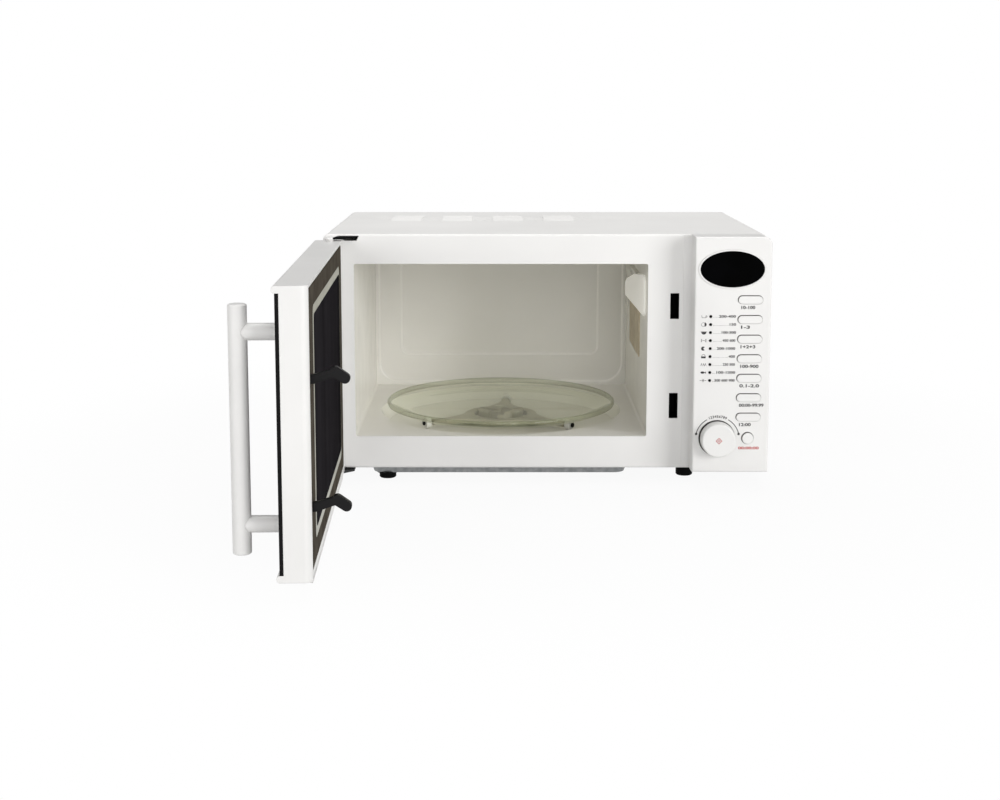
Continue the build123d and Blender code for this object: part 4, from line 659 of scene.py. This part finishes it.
def makeLampCover():
    work = bmesh.new()
    depths = [y for y, z in lampCover["outline"]]
    front, back = min(depths), max(depths)
    middle = Vector((sum(depths), sum(z for y, z in lampCover["outline"]))) / len(depths)
    low, high = lampCover["rise"]
    rings = []
    for share, inset in lampCover["bevel"]:
        ring = []
        for y, z in lampCover["outline"]:
            rise = (low + (high - low) * (y - front) / (back - front)) * share
            spot = Vector((y, z))
            spot += (middle - spot).normalized() * inset
            ring.append(work.verts.new(Vector((lampCover["wall"] - rise, spot.x, spot.y)) * mm))
        rings.append(ring)
    skinOver(work, rings)
    work.faces.new(rings[-1])
    work.faces.new(rings[0])
    bmesh.ops.triangulate(work, faces=[face for face in work.faces if len(face.verts) > 4])
    mesh = finishMesh("lampCover", work, 50.0)
    placePiece("lampCover", mesh, bodyOf["cavity_wrap"], lampPatchPaintedGlow)


makeLampCover()


# Glass tray with three blocks that the coupler drives

tray = {
    "flat": 100.0, "bend": 8.0, "rise": 8.5, "curve": 1.5, "curveSteps": 12, "glass": 5.0, "steps": 192,
    "outerInset": 1.0, "edgeInset": 0.1, "edgeArc": (-60, 95), "innerInset": 1.2, "innerDrop": 0.2,
    "blockCircle": 21.0, "block": (6.0, 12.0, 5.0), "rimFrom": 123.5,
}


def makeTray():
    low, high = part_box("glass_tray")
    centre = (low + high) / 2
    rim = (high.x - low.x) / 2 / mm
    under = low.z / mm + tray["block"][2]
    flat = tray["flat"]
    glass = tray["glass"]
    rise = tray["rise"]
    count = tray["curveSteps"]
    shares = [(step / count, (step / count) ** tray["curve"]) for step in range(count + 1)]
    profile = [(0, under), (flat - tray["bend"], under), (flat, under)]
    for share, bent in shares[1:]:
        profile.append((flat + (rim - tray["outerInset"] - flat) * share, under + rise * bent))
    edge = (rim - glass / 2 - tray["edgeInset"], under + rise + glass / 2)
    profile += arcPoints(edge, glass / 2, *tray["edgeArc"], count)
    for share, bent in shares[::-1]:
        across = flat + (rim - glass / 2 - tray["innerInset"] - flat) * share
        profile.append((across, under + glass + (rise - tray["innerDrop"]) * bent))
    profile += [(flat - tray["bend"], under + glass), (0, under + glass)]
    work = lathe(profile, (centre.x, centre.y, 0), (0, 0, 1), tray["steps"])
    for index in range(3):
        block = bmesh.ops.create_cube(work, size=1.0)
        place = (
            Matrix.Translation((centre.x, centre.y, (under - tray["block"][2] / 2) * mm))
            @ Matrix.Rotation(math.radians(90 + 120 * index), 4, "Z")
            @ Matrix.Translation((tray["blockCircle"] * mm, 0, 0))
            @ Matrix.Diagonal((*(Vector(tray["block"]) * mm), 1))
        )
        bmesh.ops.transform(work, matrix=place, verts=block["verts"])
    piece = turnedPiece("glassTray", "glass_tray", work, 40.0)
    paintWhere(piece.data, rimGlass, lambda face: (face.center - centre).xy.length > tray["rimFrom"] * mm)


makeTray()


# Rollers with a groove in each face

roller = {
    "radius": 6.0, "width": 6.0, "bore": 1.55, "round": 0.9, "roundSteps": 6, "groove": (2.2, 2.0, 1.7),
    "grooveDepth": 0.3, "start": 86.0, "steps": 72,
}


def makeRoller(index):
    node = "roller_" + str(index + 1)
    turn = math.radians(roller["start"] + 120 * index)
    half = roller["width"] / 2
    radius = roller["radius"]
    soft = roller["round"]
    inner, middle, outer = [radius - inset for inset in roller["groove"]]
    deep = half - roller["grooveDepth"]
    profile = [(roller["bore"], -half), (inner, -half), (middle, -deep), (outer, -half)]
    profile += arcPoints((radius - soft, -half + soft), soft, -90, 0, roller["roundSteps"])
    profile += arcPoints((radius - soft, half - soft), soft, 0, 90, roller["roundSteps"])
    profile += [(outer, half), (middle, deep), (inner, half)]
    profile += [(roller["bore"], half), (roller["bore"], -half)]
    work = lathe(profile, middleOf(node), (math.cos(turn), math.sin(turn), 0), roller["steps"])
    turnedPiece("rollerWheel" + str(index + 1), node, work)


for rollerIndex in range(3):
    makeRoller(rollerIndex)


# Handle bar with rolled ends

handle = {"radius": 7.745, "round": 1.6, "roundSteps": 8, "steps": 96}


def makeHandle():
    low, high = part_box("handle_bar")
    middle = (low + high) / 2
    inner = handle["radius"] - handle["round"]
    soft = handle["round"]
    bottom = low.z / mm
    top = high.z / mm
    profile = [(0, bottom)]
    profile += arcPoints((inner, bottom + soft), soft, -90, 0, handle["roundSteps"])
    profile += arcPoints((inner, top - soft), soft, 0, 90, handle["roundSteps"])
    profile.append((0, top))
    work = lathe(profile, (middle.x, middle.y, 0), (0, 0, 1), handle["steps"])
    turnedPiece("handleBar", "handle_bar", work)


makeHandle()
for nodeName in ("handle_posts", "feet"):
    fineCopy(nodeName, 40.0)


# Dial with a soft edge and a shallow dished face

dial = {
    "radius": 17.7, "taper": 0.6, "foot": 0.3, "edge": 1.6, "edgeArc": (10, 90), "edgeSteps": 10,
    "dish": 0.35,
    "dishSteps": 8, "bore": 3.05, "roof": 3.0, "steps": 144,
}


def makeDial():
    low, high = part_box("dial_knob")
    middle = (low + high) / 2
    height = (high.y - low.y) / mm
    radius = dial["radius"]
    front = radius - dial["taper"]
    edge = dial["edge"]
    profile = [(dial["bore"], 0), (radius - dial["foot"], 0), (radius, dial["foot"]), (front, height - edge)]
    profile += arcPoints((front - edge, height - edge), edge, *dial["edgeArc"], dial["edgeSteps"])
    for step in range(1, dial["dishSteps"] + 1):
        share = step / dial["dishSteps"]
        profile.append(((front - edge) * (1 - share), height - dial["dish"] * (1 - (1 - share) ** 2)))
    profile += [(0, height - dial["dish"])]
    inside = [(dial["bore"], 0), (dial["bore"], height - dial["roof"]), (0, height - dial["roof"])]
    stand = ((middle.x, high.y, middle.z), (0, -1, 0), dial["steps"])
    work = lathe(profile, *stand)
    work.from_mesh(flatMesh("dialBore", lathe(inside, *stand)))
    turnedPiece("dialKnob", "dial_knob", work, 30.0)


makeDial()
print("turned pieces made")


# Printed marks on the control panel: plain numbers and small generic signs

ink = {
    "face": -176.8, "lift": 0.05, "root": -0.02, "weight": 0.035, "rowTop": 178.3, "rowStep": 8.15,
    "signX": 158.7,
    "leadX": 168.4, "leadDrop": 0.9, "textEnd": 190.6, "rowSize": 3.5, "keyX": 205.1, "keyTop": 195.0,
    "keyStep": 19.95, "captionX": 195.4, "captionDrop": 7.7, "captionSize": 4.4, "arcRadius": 22.0,
    "arcHalf": 0.4,
    "arcs": ((168.0, 119.0), (61.0, 12.0)), "arcSteps": 24, "arcDot": 1.25, "arcSize": 3.5, "arcCount": 9,
    "arcFrom": 112.0, "arcStep": 5.5, "dotGap": 1.1, "dotRadius": 0.24,
}
stopInk = {"words": "00:00:00", "size": 3.8, "right": 1.0, "drop": 10.1, "width": 21.0}
rowWords = ("200-400", "150", "100-300", "450 600", "200-1000", "400", "250 500", "100-1200", "300 600 900")
rowWidths = (17.0, 6.6, 14.4, 13.0, 18.7, 6.6, 12.3, 19.0, 20.6)
captionWords = ("10-100", "1-3", "1+2+3", "100-900", "0.1-2.0", "00:00-99:99", "12:00")
captionWidths = (14.0, 9.0, 15.0, 18.5, 20.0, 25.0, 12.0)


def panelPoint(x, z, lift):
    return Vector((x, ink["face"] - lift, z)) * mm


def panelRing(work, loop, lift):
    return [work.verts.new(panelPoint(x, z, lift)) for x, z in loop]


def stamp(work, outline):
    front = panelRing(work, outline, ink["lift"])
    back = panelRing(work, outline, ink["root"])
    work.faces.new(front)
    ringBetween(work, front, back)


def stampRing(work, outer, inner, lift=ink["lift"]):
    levels = ((outer, ink["root"]), (outer, lift), (inner, lift), (inner, ink["root"]))
    skinOver(work, [panelRing(work, loop, level) for loop, level in levels])


def stampLine(work, start, end, width):
    a = Vector(start)
    b = Vector(end)
    side = (b - a).normalized().orthogonal() * width / 2
    stamp(work, [a + side, b + side, b - side, a - side])


def discLoop(x, z, radius, steps=16):
    return arcPoints((x, z), radius, 0, 360 - 360 / steps, steps - 1)


def slotLoop(x, z, width, height, steps=12):
    reach = (width - height) / 2
    right = arcPoints((x + reach, z), height / 2, -90, 90, steps)
    return right + arcPoints((x - reach, z), height / 2, 90, 270, steps)


def wordsMesh(words, size, width):
    curve = bpy.data.curves.new("panelWords", "FONT")
    curve.body = words
    curve.size = size
    curve.align_x = "CENTER"
    curve.align_y = "CENTER"
    curve.resolution_u = 4
    curve.offset = ink["weight"] * size
    holder = newObject("panelWords", curve)
    mesh = evaluatedMesh(holder)
    bpy.data.objects.remove(holder)
    if width is not None:
        xs = [vertex.co.x for vertex in mesh.vertices]
        reach = max(xs) - min(xs)
        for vertex in mesh.vertices:
            vertex.co.x *= width / reach
    return mesh


def stampWords(work, words, size, x, z, width=None, turn=0.0):
    mesh = wordsMesh(words, size, width)
    spin = Matrix.Rotation(math.radians(turn), 2)
    for vertex in mesh.vertices:
        place = spin @ vertex.co.xy
        vertex.co = panelPoint(x + place.x, z + place.y, ink["lift"])
    work.from_mesh(mesh)
    bpy.data.meshes.remove(mesh)


def stampSign(work, index, x, z):
    def line(start, end, width):
        stampLine(work, (x + start[0], z + start[1]), (x + end[0], z + end[1]), width)

    if index == 0:      # cup
        cup = ((-2.4, 1.2), (-2.0, -1.3), (1.6, -1.3), (2.0, 1.2))
        for start, end in zip(cup, cup[1:]):
            line(start, end, 0.4)
        stampRing(work, discLoop(x + 2.4, z, 0.9), discLoop(x + 2.4, z, 0.5))
    elif index == 1:    # half disc
        stamp(work, arcPoints((x + 0.6, z), 2.1, -90, 90, 12))
        stampRing(work, discLoop(x - 0.6, z, 2.1, 24), discLoop(x - 0.6, z, 1.8, 24))
    elif index == 2:    # low dish
        stamp(work, arcPoints((x, z + 0.6), 2.6, 180, 360, 12))
        line((-3.2, 0.9), (3.2, 0.9), 0.4)
    elif index == 3:    # brackets
        for side in (-2.2, 2.2):
            for step in (-0.35, 0.0, 0.35):
                line((side + step, -1.6), (side + step, 1.6), 0.2)
        line((-1.2, 0), (1.2, 0), 0.4)
    elif index == 4:    # disc with a wedge out
        stamp(work, arcPoints((x - 0.4, z), 2.1, 45, 315, 18) + [(x - 0.4, z)])
    elif index == 5:    # lidded pot
        stamp(work, [(x - 2.2, z - 1.7), (x + 2.2, z - 1.7), (x + 2.5, z + 0.2), (x - 2.5, z + 0.2)])
        stampRing(work, arcPoints((x, z + 0.5), 1.9, 0, 180, 12), arcPoints((x, z + 0.5), 1.5, 0, 180, 12))
    elif index == 6:    # peaks
        for step in (-1.8, 0.4, 2.2):
            line((step - 0.8, -1.5), (step, 1.2), 0.35)
            line((step, 1.2), (step + 0.8, -1.5), 0.35)
    elif index == 7:    # oval with a tail
        stamp(work, [(x - 0.6 + 2.1 * px, z + 1.2 * pz) for px, pz in discLoop(0, 0, 1.0, 20)])
        stamp(work, [(x + 1.2, z), (x + 2.8, z + 1.2), (x + 2.8, z - 1.2)])
    else:               # star between two bars
        for turn in (0, 60, 120):
            reach = Vector((math.cos(math.radians(turn)), math.sin(math.radians(turn)))) * 1.9
            line(-reach, reach, 0.35)
        for side in (-1, 1):
            line((side * 2.2, 0), (side * 3.3, 0), 0.5)


def makePanelMarks():
    black = bmesh.new()
    for index, words in enumerate(rowWords):
        z = ink["rowTop"] - ink["rowStep"] * index
        width = rowWidths[index]
        stampSign(black, index, ink["signX"], z)
        stampWords(black, words, ink["rowSize"], ink["textEnd"] - width / 2, z, width)
    for index, words in enumerate(captionWords):
        z = ink["keyTop"] - ink["keyStep"] * index - ink["captionDrop"]
        width = captionWidths[index]
        stampWords(black, words, ink["captionSize"], ink["captionX"] + width / 2, z, width)
    middle = (middleOf("dial_knob") / mm).xz
    radius = ink["arcRadius"]
    for start, end in ink["arcs"]:
        outer = arcPoints(middle, radius + ink["arcHalf"], start, end, ink["arcSteps"])
        inner = arcPoints(middle, radius - ink["arcHalf"], start, end, ink["arcSteps"])
        stamp(black, outer + inner[::-1])
    for turn in (ink["arcs"][0][0], ink["arcs"][1][1]):
        stamp(black, discLoop(*arcPoints(middle, radius, turn, turn, 1)[0], ink["arcDot"]))
    for index in range(ink["arcCount"]):
        turn = ink["arcFrom"] - ink["arcStep"] * index
        spot = arcPoints(middle, radius + ink["arcHalf"], turn, turn, 1)[0]
        stampWords(black, str(index + 1), ink["arcSize"], *spot, None, turn - 90.0)
    placePiece("panelMarks", flatMesh("panelMarks", black), "chassis", inkBlack)
    red = bmesh.new()
    x, z = (middleOf("stop_key") / mm).xz
    x += stopInk["right"]
    z -= stopInk["drop"]
    stampWords(red, stopInk["words"], stopInk["size"], x, z, stopInk["width"])
    placePiece("stopMark", flatMesh("stopMark", red), "chassis", inkRed)


makePanelMarks()


# Painted shade round the keys, the stop key and the dial: dark grey rings stamped on the panel, shifted so the
# painted shadow is wider above and to the left

gap = {
    "key": (24.4, 7.9), "stop": 5.85, "grow": 0.45, "shadeShift": (-0.3, 0.42), "dial": (17.5, 18.5),
    "dialShadeShift": (-0.6, 0.4), "lift": 0.03, "stopSteps": 48, "dialSteps": 96,
}


def roundGapShade(work, node, inner, outer, shadeShift, steps):
    x, z = (middleOf(node) / mm).xz
    around = discLoop(x + shadeShift[0], z + shadeShift[1], outer, steps)
    stampRing(work, around, discLoop(x, z, inner, steps), gap["lift"])


def makeKeyGapShades():
    work = bmesh.new()
    width, height = gap["key"]
    grow = 2 * gap["grow"]
    for index in range(len(captionWords)):
        z = ink["keyTop"] - ink["keyStep"] * index
        inner = slotLoop(ink["keyX"], z, width, height)
        outer = slotLoop(ink["keyX"] + gap["shadeShift"][0], z + gap["shadeShift"][1], width + grow, height + grow)
        stampRing(work, outer, inner, gap["lift"])
    roundGapShade(work, "stop_key", gap["stop"], gap["stop"] + gap["grow"], gap["shadeShift"], gap["stopSteps"])
    roundGapShade(work, "dial_knob", *gap["dial"], gap["dialShadeShift"], gap["dialSteps"])
    placePiece("keyGapShades", flatMesh("keyGapShades", work), "chassis", gapShadeGrey)


makeKeyGapShades()


# Small repeated forms, spread by node trees and then made plain meshes

dots = {"verts": 8, "seed": 4}
screws = {
    "head": 3.6, "rise": 2.2, "brim": 0.55, "crown": 0.68, "shank": 1.8, "length": 3.0,
    "cross": (0.9, 3.6, 1.3),
    "verts": 32, "seed": 11,
}
holes = {"sides": (40.0, 306.0, 52.5, 216.5), "pitch": 3.0, "radius": 0.95, "lift": 0.03, "seed": 2}


def spreadTree(name, shape, points=None):
    tree = bpy.data.node_groups.new(name, "GeometryNodeTree")
    sockets = (
        ("Geometry", "NodeSocketGeometry"), ("Gap", "NodeSocketFloat"), ("Radius", "NodeSocketFloat"),
        ("Turn", "NodeSocketVector"), ("Spin", "NodeSocketVector"), ("Seed", "NodeSocketInt"),
        ("Finish", "NodeSocketMaterial"),
    )
    for label, kind in sockets:
        tree.interface.new_socket(label, in_out="INPUT", socket_type=kind)
    tree.interface.new_socket("Geometry", in_out="OUTPUT", socket_type="NodeSocketGeometry")
    given = addNode(tree, "NodeGroupInput")
    out = addNode(tree, "NodeGroupOutput")
    source = given.outputs["Geometry"] if points is None else points(tree, given)
    turned = addNode(tree, "GeometryNodeTransform")
    spin = addNode(tree, "FunctionNodeRandomValue", data_type="FLOAT_VECTOR")
    spread = addNode(tree, "GeometryNodeInstanceOnPoints")
    real = addNode(tree, "GeometryNodeRealizeInstances")
    paint = addNode(tree, "GeometryNodeSetMaterial")
    tree.links.new(shape(tree, given), turned.inputs["Geometry"])
    tree.links.new(source, spread.inputs["Points"])
    linkNodes(
        tree, (given, "Turn", turned, "Rotation"), (given, "Spin", spin, "Max"),
        (given, "Seed", spin, "Seed"),
        (turned, "Geometry", spread, "Instance"), (spin, "Value", spread, "Rotation"),
        (spread, "Instances", real, "Geometry"), (real, "Geometry", paint, "Geometry"),
        (given, "Finish", paint, "Material"), (paint, "Geometry", out, "Geometry"),
    )
    return tree


def discShape(tree, given):
    disc = addNode(tree, "GeometryNodeMeshCircle", fill_type="NGON", Vertices=dots["verts"])
    linkNodes(tree, (given, "Radius", disc, "Radius"))
    return disc.outputs["Mesh"]


def alongLines(tree, given):
    line = addNode(tree, "GeometryNodeMeshToCurve")
    even = addNode(tree, "GeometryNodeResampleCurve", mode="LENGTH")
    linkNodes(
        tree, (given, "Geometry", line, "Mesh"), (line, "Curve", even, "Curve"),
        (given, "Gap", even, "Length"),
    )
    return even.outputs["Curve"]


def raised(tree, shape, height):
    place = addNode(tree, "GeometryNodeTransform", Translation=Vector((0, 0, height)) * mm)
    linkNodes(tree, (shape, "Mesh", place, "Geometry"))
    return place


def screwShape(tree, given):
    brim = screws["rise"] * screws["brim"]
    around = screws["verts"]
    low = addNode(tree, "GeometryNodeMeshCylinder", Vertices=around, Depth=brim * mm)
    crown = addNode(
        tree, "GeometryNodeMeshCone", Vertices=around, Depth=(screws["rise"] - brim) * mm,
        Radius_Top=screws["head"] * screws["crown"] * mm,
    )
    shank = addNode(
        tree, "GeometryNodeMeshCylinder", Vertices=around, Radius=screws["shank"] * mm,
        Depth=screws["length"] * mm,
    )
    width, length, depth = screws["cross"]
    cut = addNode(tree, "GeometryNodeMeshBoolean", operation="DIFFERENCE")
    linkNodes(
        tree, (given, "Radius", low, "Radius"), (given, "Radius", crown, "Radius Bottom"),
        (raised(tree, crown, brim), "Geometry", cut, "Mesh 1"),
    )
    for size in ((width, length, 2 * depth), (length, width, 2 * depth)):
        bar = addNode(tree, "GeometryNodeMeshCube", Size=Vector(size) * mm)
        linkNodes(tree, (raised(tree, bar, screws["rise"]), "Geometry", cut, "Mesh 2"))
    join = addNode(tree, "GeometryNodeJoinGeometry")
    linkNodes(
        tree, (cut, "Mesh", join, "Geometry"), (raised(tree, low, brim / 2), "Geometry", join, "Geometry"),
        (raised(tree, shank, -screws["length"] / 2), "Geometry", join, "Geometry"),
    )
    return join.outputs["Geometry"]


def spreadMesh(name, tree, points, edges, values):
    mesh = bpy.data.meshes.new(name + "Sites")
    mesh.from_pydata(points, edges, [])
    holder = newObject(name + "Sites", mesh)
    spread = holder.modifiers.new("spread", "NODES")
    spread.node_group = tree
    for item in tree.interface.items_tree:
        if item.in_out == "INPUT" and item.name in values:
            spread[item.identifier] = values[item.name]
    done = evaluatedMesh(holder)
    done.name = name
    bpy.data.objects.remove(holder)
    return done


def makeLeaderDots():
    points = []
    edges = []
    for index, width in enumerate(rowWidths):
        z = ink["rowTop"] - ink["rowStep"] * index - ink["leadDrop"]
        for x in (ink["leadX"], ink["textEnd"] - width - ink["leadDrop"]):
            points.append(panelPoint(x, z, ink["lift"]))
        edges.append((2 * index, 2 * index + 1))
    mesh = spreadMesh("leaderDots", spreadTree("leaderDots", discShape, alongLines), points, edges, {
        "Gap": ink["dotGap"] * mm, "Radius": ink["dotRadius"] * mm, "Turn": (math.pi / 2, 0, 0),
        "Seed": dots["seed"], "Finish": inkBlack,
    })
    placePiece("leaderDots", mesh, "chassis", inkBlack)


def screwSites():
    sites = []
    spots = [vertex.co.copy() for vertex in cadNodes["cover_screws"].data.vertices]
    top = max(spot.y for spot in spots)
    for spot in spots:
        if spot.y < top - 1e-5:
            continue
        for site in sites:
            if (site[0] - spot).length < 3 * screws["head"] * mm:
                site.append(spot)
                break
        else:
            sites.append([spot])
    middles = []
    for site in sites:
        xs = [spot.x for spot in site]
        zs = [spot.z for spot in site]
        middles.append(Vector(((min(xs) + max(xs)) / 2, top - screws["rise"] * mm, (min(zs) + max(zs)) / 2)))
    return middles


def makeCoverScrews():
    mesh = spreadMesh("coverScrews", spreadTree("coverScrews", screwShape), screwSites(), [], {
        "Radius": screws["head"] * mm, "Turn": (-math.pi / 2, 0, 0), "Spin": (0, math.pi, 0),
        "Seed": screws["seed"], "Finish": zincSheet,
    })
    replaceNode("coverScrews", mesh, "cover_screws")


def glassFace():
    turn = math.radians(door["open"])
    reach = []
    for vertex in cadNodes["door_glass"].data.vertices:
        away = vertex.co.xy / mm - Vector(door["hinge"])
        reach.append(away.x * math.sin(turn) + away.y * math.cos(turn))
    return min(reach)


def makeHoles(name, inward, turn, finish):
    left, right, bottom, top = holes["sides"]
    rise = holes["pitch"] * math.sin(math.radians(60))
    points = []
    for row in range(int((top - bottom) / rise) + 1):
        along = left + holes["pitch"] / 2 * (row % 2)
        while along <= right:
            points.append(doorPlace(along, inward, bottom + row * rise))
            along += holes["pitch"]
    mesh = spreadMesh(name, spreadTree(name, discShape), points, [], {
        "Radius": holes["radius"] * mm, "Turn": (math.pi / 2, 0, math.radians(turn)), "Seed": holes["seed"],
        "Finish": finish,
    })
    placePiece(name, mesh, "door", finish)


makeLeaderDots()
makeCoverScrews()
makeHoles("paneHoles", pane["face"] + holes["lift"], 180 - door["open"], holeGrey)
makeHoles("glassDots", glassFace() - holes["lift"], -door["open"], doorDots)
print("repeated forms made")


# Red diamond on the dial

diamond = {
    "outer": 3.3, "inner": 2.5, "depth": 0.2, "root": 0.6, "bars": (-0.9, 0.0, 0.9), "barHalf": 0.25,
    "barReach": 1.5,
}


def makeDialMark():
    middle = middleOf("dial_knob") / mm
    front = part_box("dial_knob")[0].y / mm
    work = bmesh.new()

    def ring(loop, depth):
        return [work.verts.new(Vector((middle.x + x, front + depth, middle.z + z)) * mm) for x, z in loop]

    outer, inner = [[(r, 0), (0, r), (-r, 0), (0, -r)] for r in (diamond["outer"], diamond["inner"])]
    depth, root = diamond["depth"], diamond["root"]
    skinOver(work, [ring(outer, root), ring(outer, depth), ring(inner, depth), ring(inner, root)])
    half = diamond["barHalf"]
    for x in diamond["bars"]:
        reach = diamond["barReach"] - abs(x)
        corners = [(x - half, -reach), (x + half, -reach), (x + half, reach), (x - half, reach)]
        work.faces.new(ring(corners, depth))
    placePiece("dialMark", flatMesh("dialMark", work), "dial", inkRed)


makeDialMark()
print("panel marks made")


# Studio: pale floor, even sky, soft boxes

studio = {
    "white": (1, 1, 1, 1), "skySeen": 1.0, "skyLight": 0.28, "floorSize": 14.0, "floorWhite": 0.74,
    "shadowShare": 0.07, "shadowReach": (0.3, 0.75), "softBoxes": (
        {"name": "rightBox", "at": (3.3, -3.2, 1.0), "to": (-0.05, 0, 0.12), "size": 2.2, "watts": 119},
        {"name": "frontBox", "at": (0.3, -4.2, 1.0), "to": (-0.05, 0, 0.12), "size": 1.8, "watts": 30},
        {"name": "leftBox", "at": (-2.7, -2.7, 1.1), "to": (-0.1, -0.1, 0.12), "size": 2.0, "watts": 42},
        {"name": "topBox", "at": (0.1, 0.3, 2.4), "to": (0, 0.05, 0.2), "size": 1.8, "watts": 33},
    ),
}


def makeSky():
    world = bpy.data.worlds.new("studioSky")
    bpy.context.scene.world = world
    world.use_nodes = True
    tree = world.node_tree
    tree.nodes.clear()
    seen = addNode(tree, "ShaderNodeBackground", Color=studio["white"], Strength=studio["skySeen"])
    light = addNode(tree, "ShaderNodeBackground", Color=studio["white"], Strength=studio["skyLight"])
    mix = addNode(tree, "ShaderNodeMixShader")
    path = addNode(tree, "ShaderNodeLightPath")
    out = addNode(tree, "ShaderNodeOutputWorld")
    linkNodes(
        tree, (path, "Is Camera Ray", mix, "Fac"), (light, 0, mix, 1), (seen, 0, mix, 2),
        (mix, 0, out, "Surface"),
    )


def makeFloor():
    half = studio["floorSize"] / 2
    mesh = bpy.data.meshes.new("studioFloor")
    corners = [(-half, -half, 0), (half, -half, 0), (half, half, 0), (-half, half, 0)]
    mesh.from_pydata(corners, [], [(0, 1, 2, 3)])
    floor = newObject("studioFloor", mesh)
    material, tree, _ = newFinish("studioFloor")
    near, far = studio["shadowReach"]
    matt = addNode(tree, "ShaderNodeBsdfDiffuse", Color=(studio["floorWhite"],) * 3 + (1,))
    bright = addNode(tree, "ShaderNodeEmission", Color=studio["white"], Strength=studio["skySeen"])
    place = addNode(tree, "ShaderNodeTexCoord")
    reach = addNode(tree, "ShaderNodeVectorMath", operation="LENGTH")
    fade = addNode(
        tree, "ShaderNodeMapRange", interpolation_type="SMOOTHSTEP", From_Min=near, From_Max=far,
        To_Min=1 - studio["shadowShare"], To_Max=1.0,
    )
    path = addNode(tree, "ShaderNodeLightPath")
    straight = addNode(tree, "ShaderNodeMath", operation="MAXIMUM")
    seen = addNode(tree, "ShaderNodeMath", operation="MAXIMUM")
    share = addNode(tree, "ShaderNodeMath", operation="MULTIPLY")
    mix = addNode(tree, "ShaderNodeMixShader")
    out = tree.nodes["Material Output"]
    linkNodes(
        tree, (place, "Object", reach, 0), (reach, "Value", fade, "Value"),
        (path, "Is Camera Ray", straight, 0),
        (path, "Is Glossy Ray", straight, 1), (straight, 0, seen, 0),
        (path, "Is Transmission Ray", seen, 1),
        (seen, 0, share, 0), (fade, "Result", share, 1), (share, 0, mix, "Fac"), (matt, 0, mix, 1),
        (bright, 0, mix, 2), (mix, 0, out, "Surface"),
    )
    mesh.materials.append(material)


def makeSoftBox(box):
    lamp = bpy.data.lights.new(box["name"], "AREA")
    lamp.shape = "SQUARE"
    lamp.size = box["size"]
    lamp.energy = box["watts"]
    lampObject = newObject(box["name"], lamp)
    lampObject.location = box["at"]
    aim = Vector(box["to"]) - Vector(box["at"])
    lampObject.rotation_euler = aim.to_track_quat("-Z", "Y").to_euler()


makeSky()
makeFloor()
for softBox in studio["softBoxes"]:
    makeSoftBox(softBox)

view = {
    "at": (-46.0 * mm, -1692.5 * mm, 398.9 * mm), "downDegrees": 7.66, "lens": 54.98, "sensor": 36.0,
    "shiftY": -0.1,
}


def makeCamera():
    lens = bpy.data.cameras.new("photoView")
    lens.lens = view["lens"]
    lens.sensor_width = view["sensor"]
    lens.sensor_fit = "HORIZONTAL"
    lens.shift_y = view["shiftY"]
    camera = newObject("photoView", lens)
    camera.location = view["at"]
    camera.rotation_euler = (math.radians(90 - view["downDegrees"]), 0, 0)
    bpy.context.scene.camera = camera


makeCamera()
bpy.context.scene.view_settings.view_transform = "Standard"
print("studio ready")
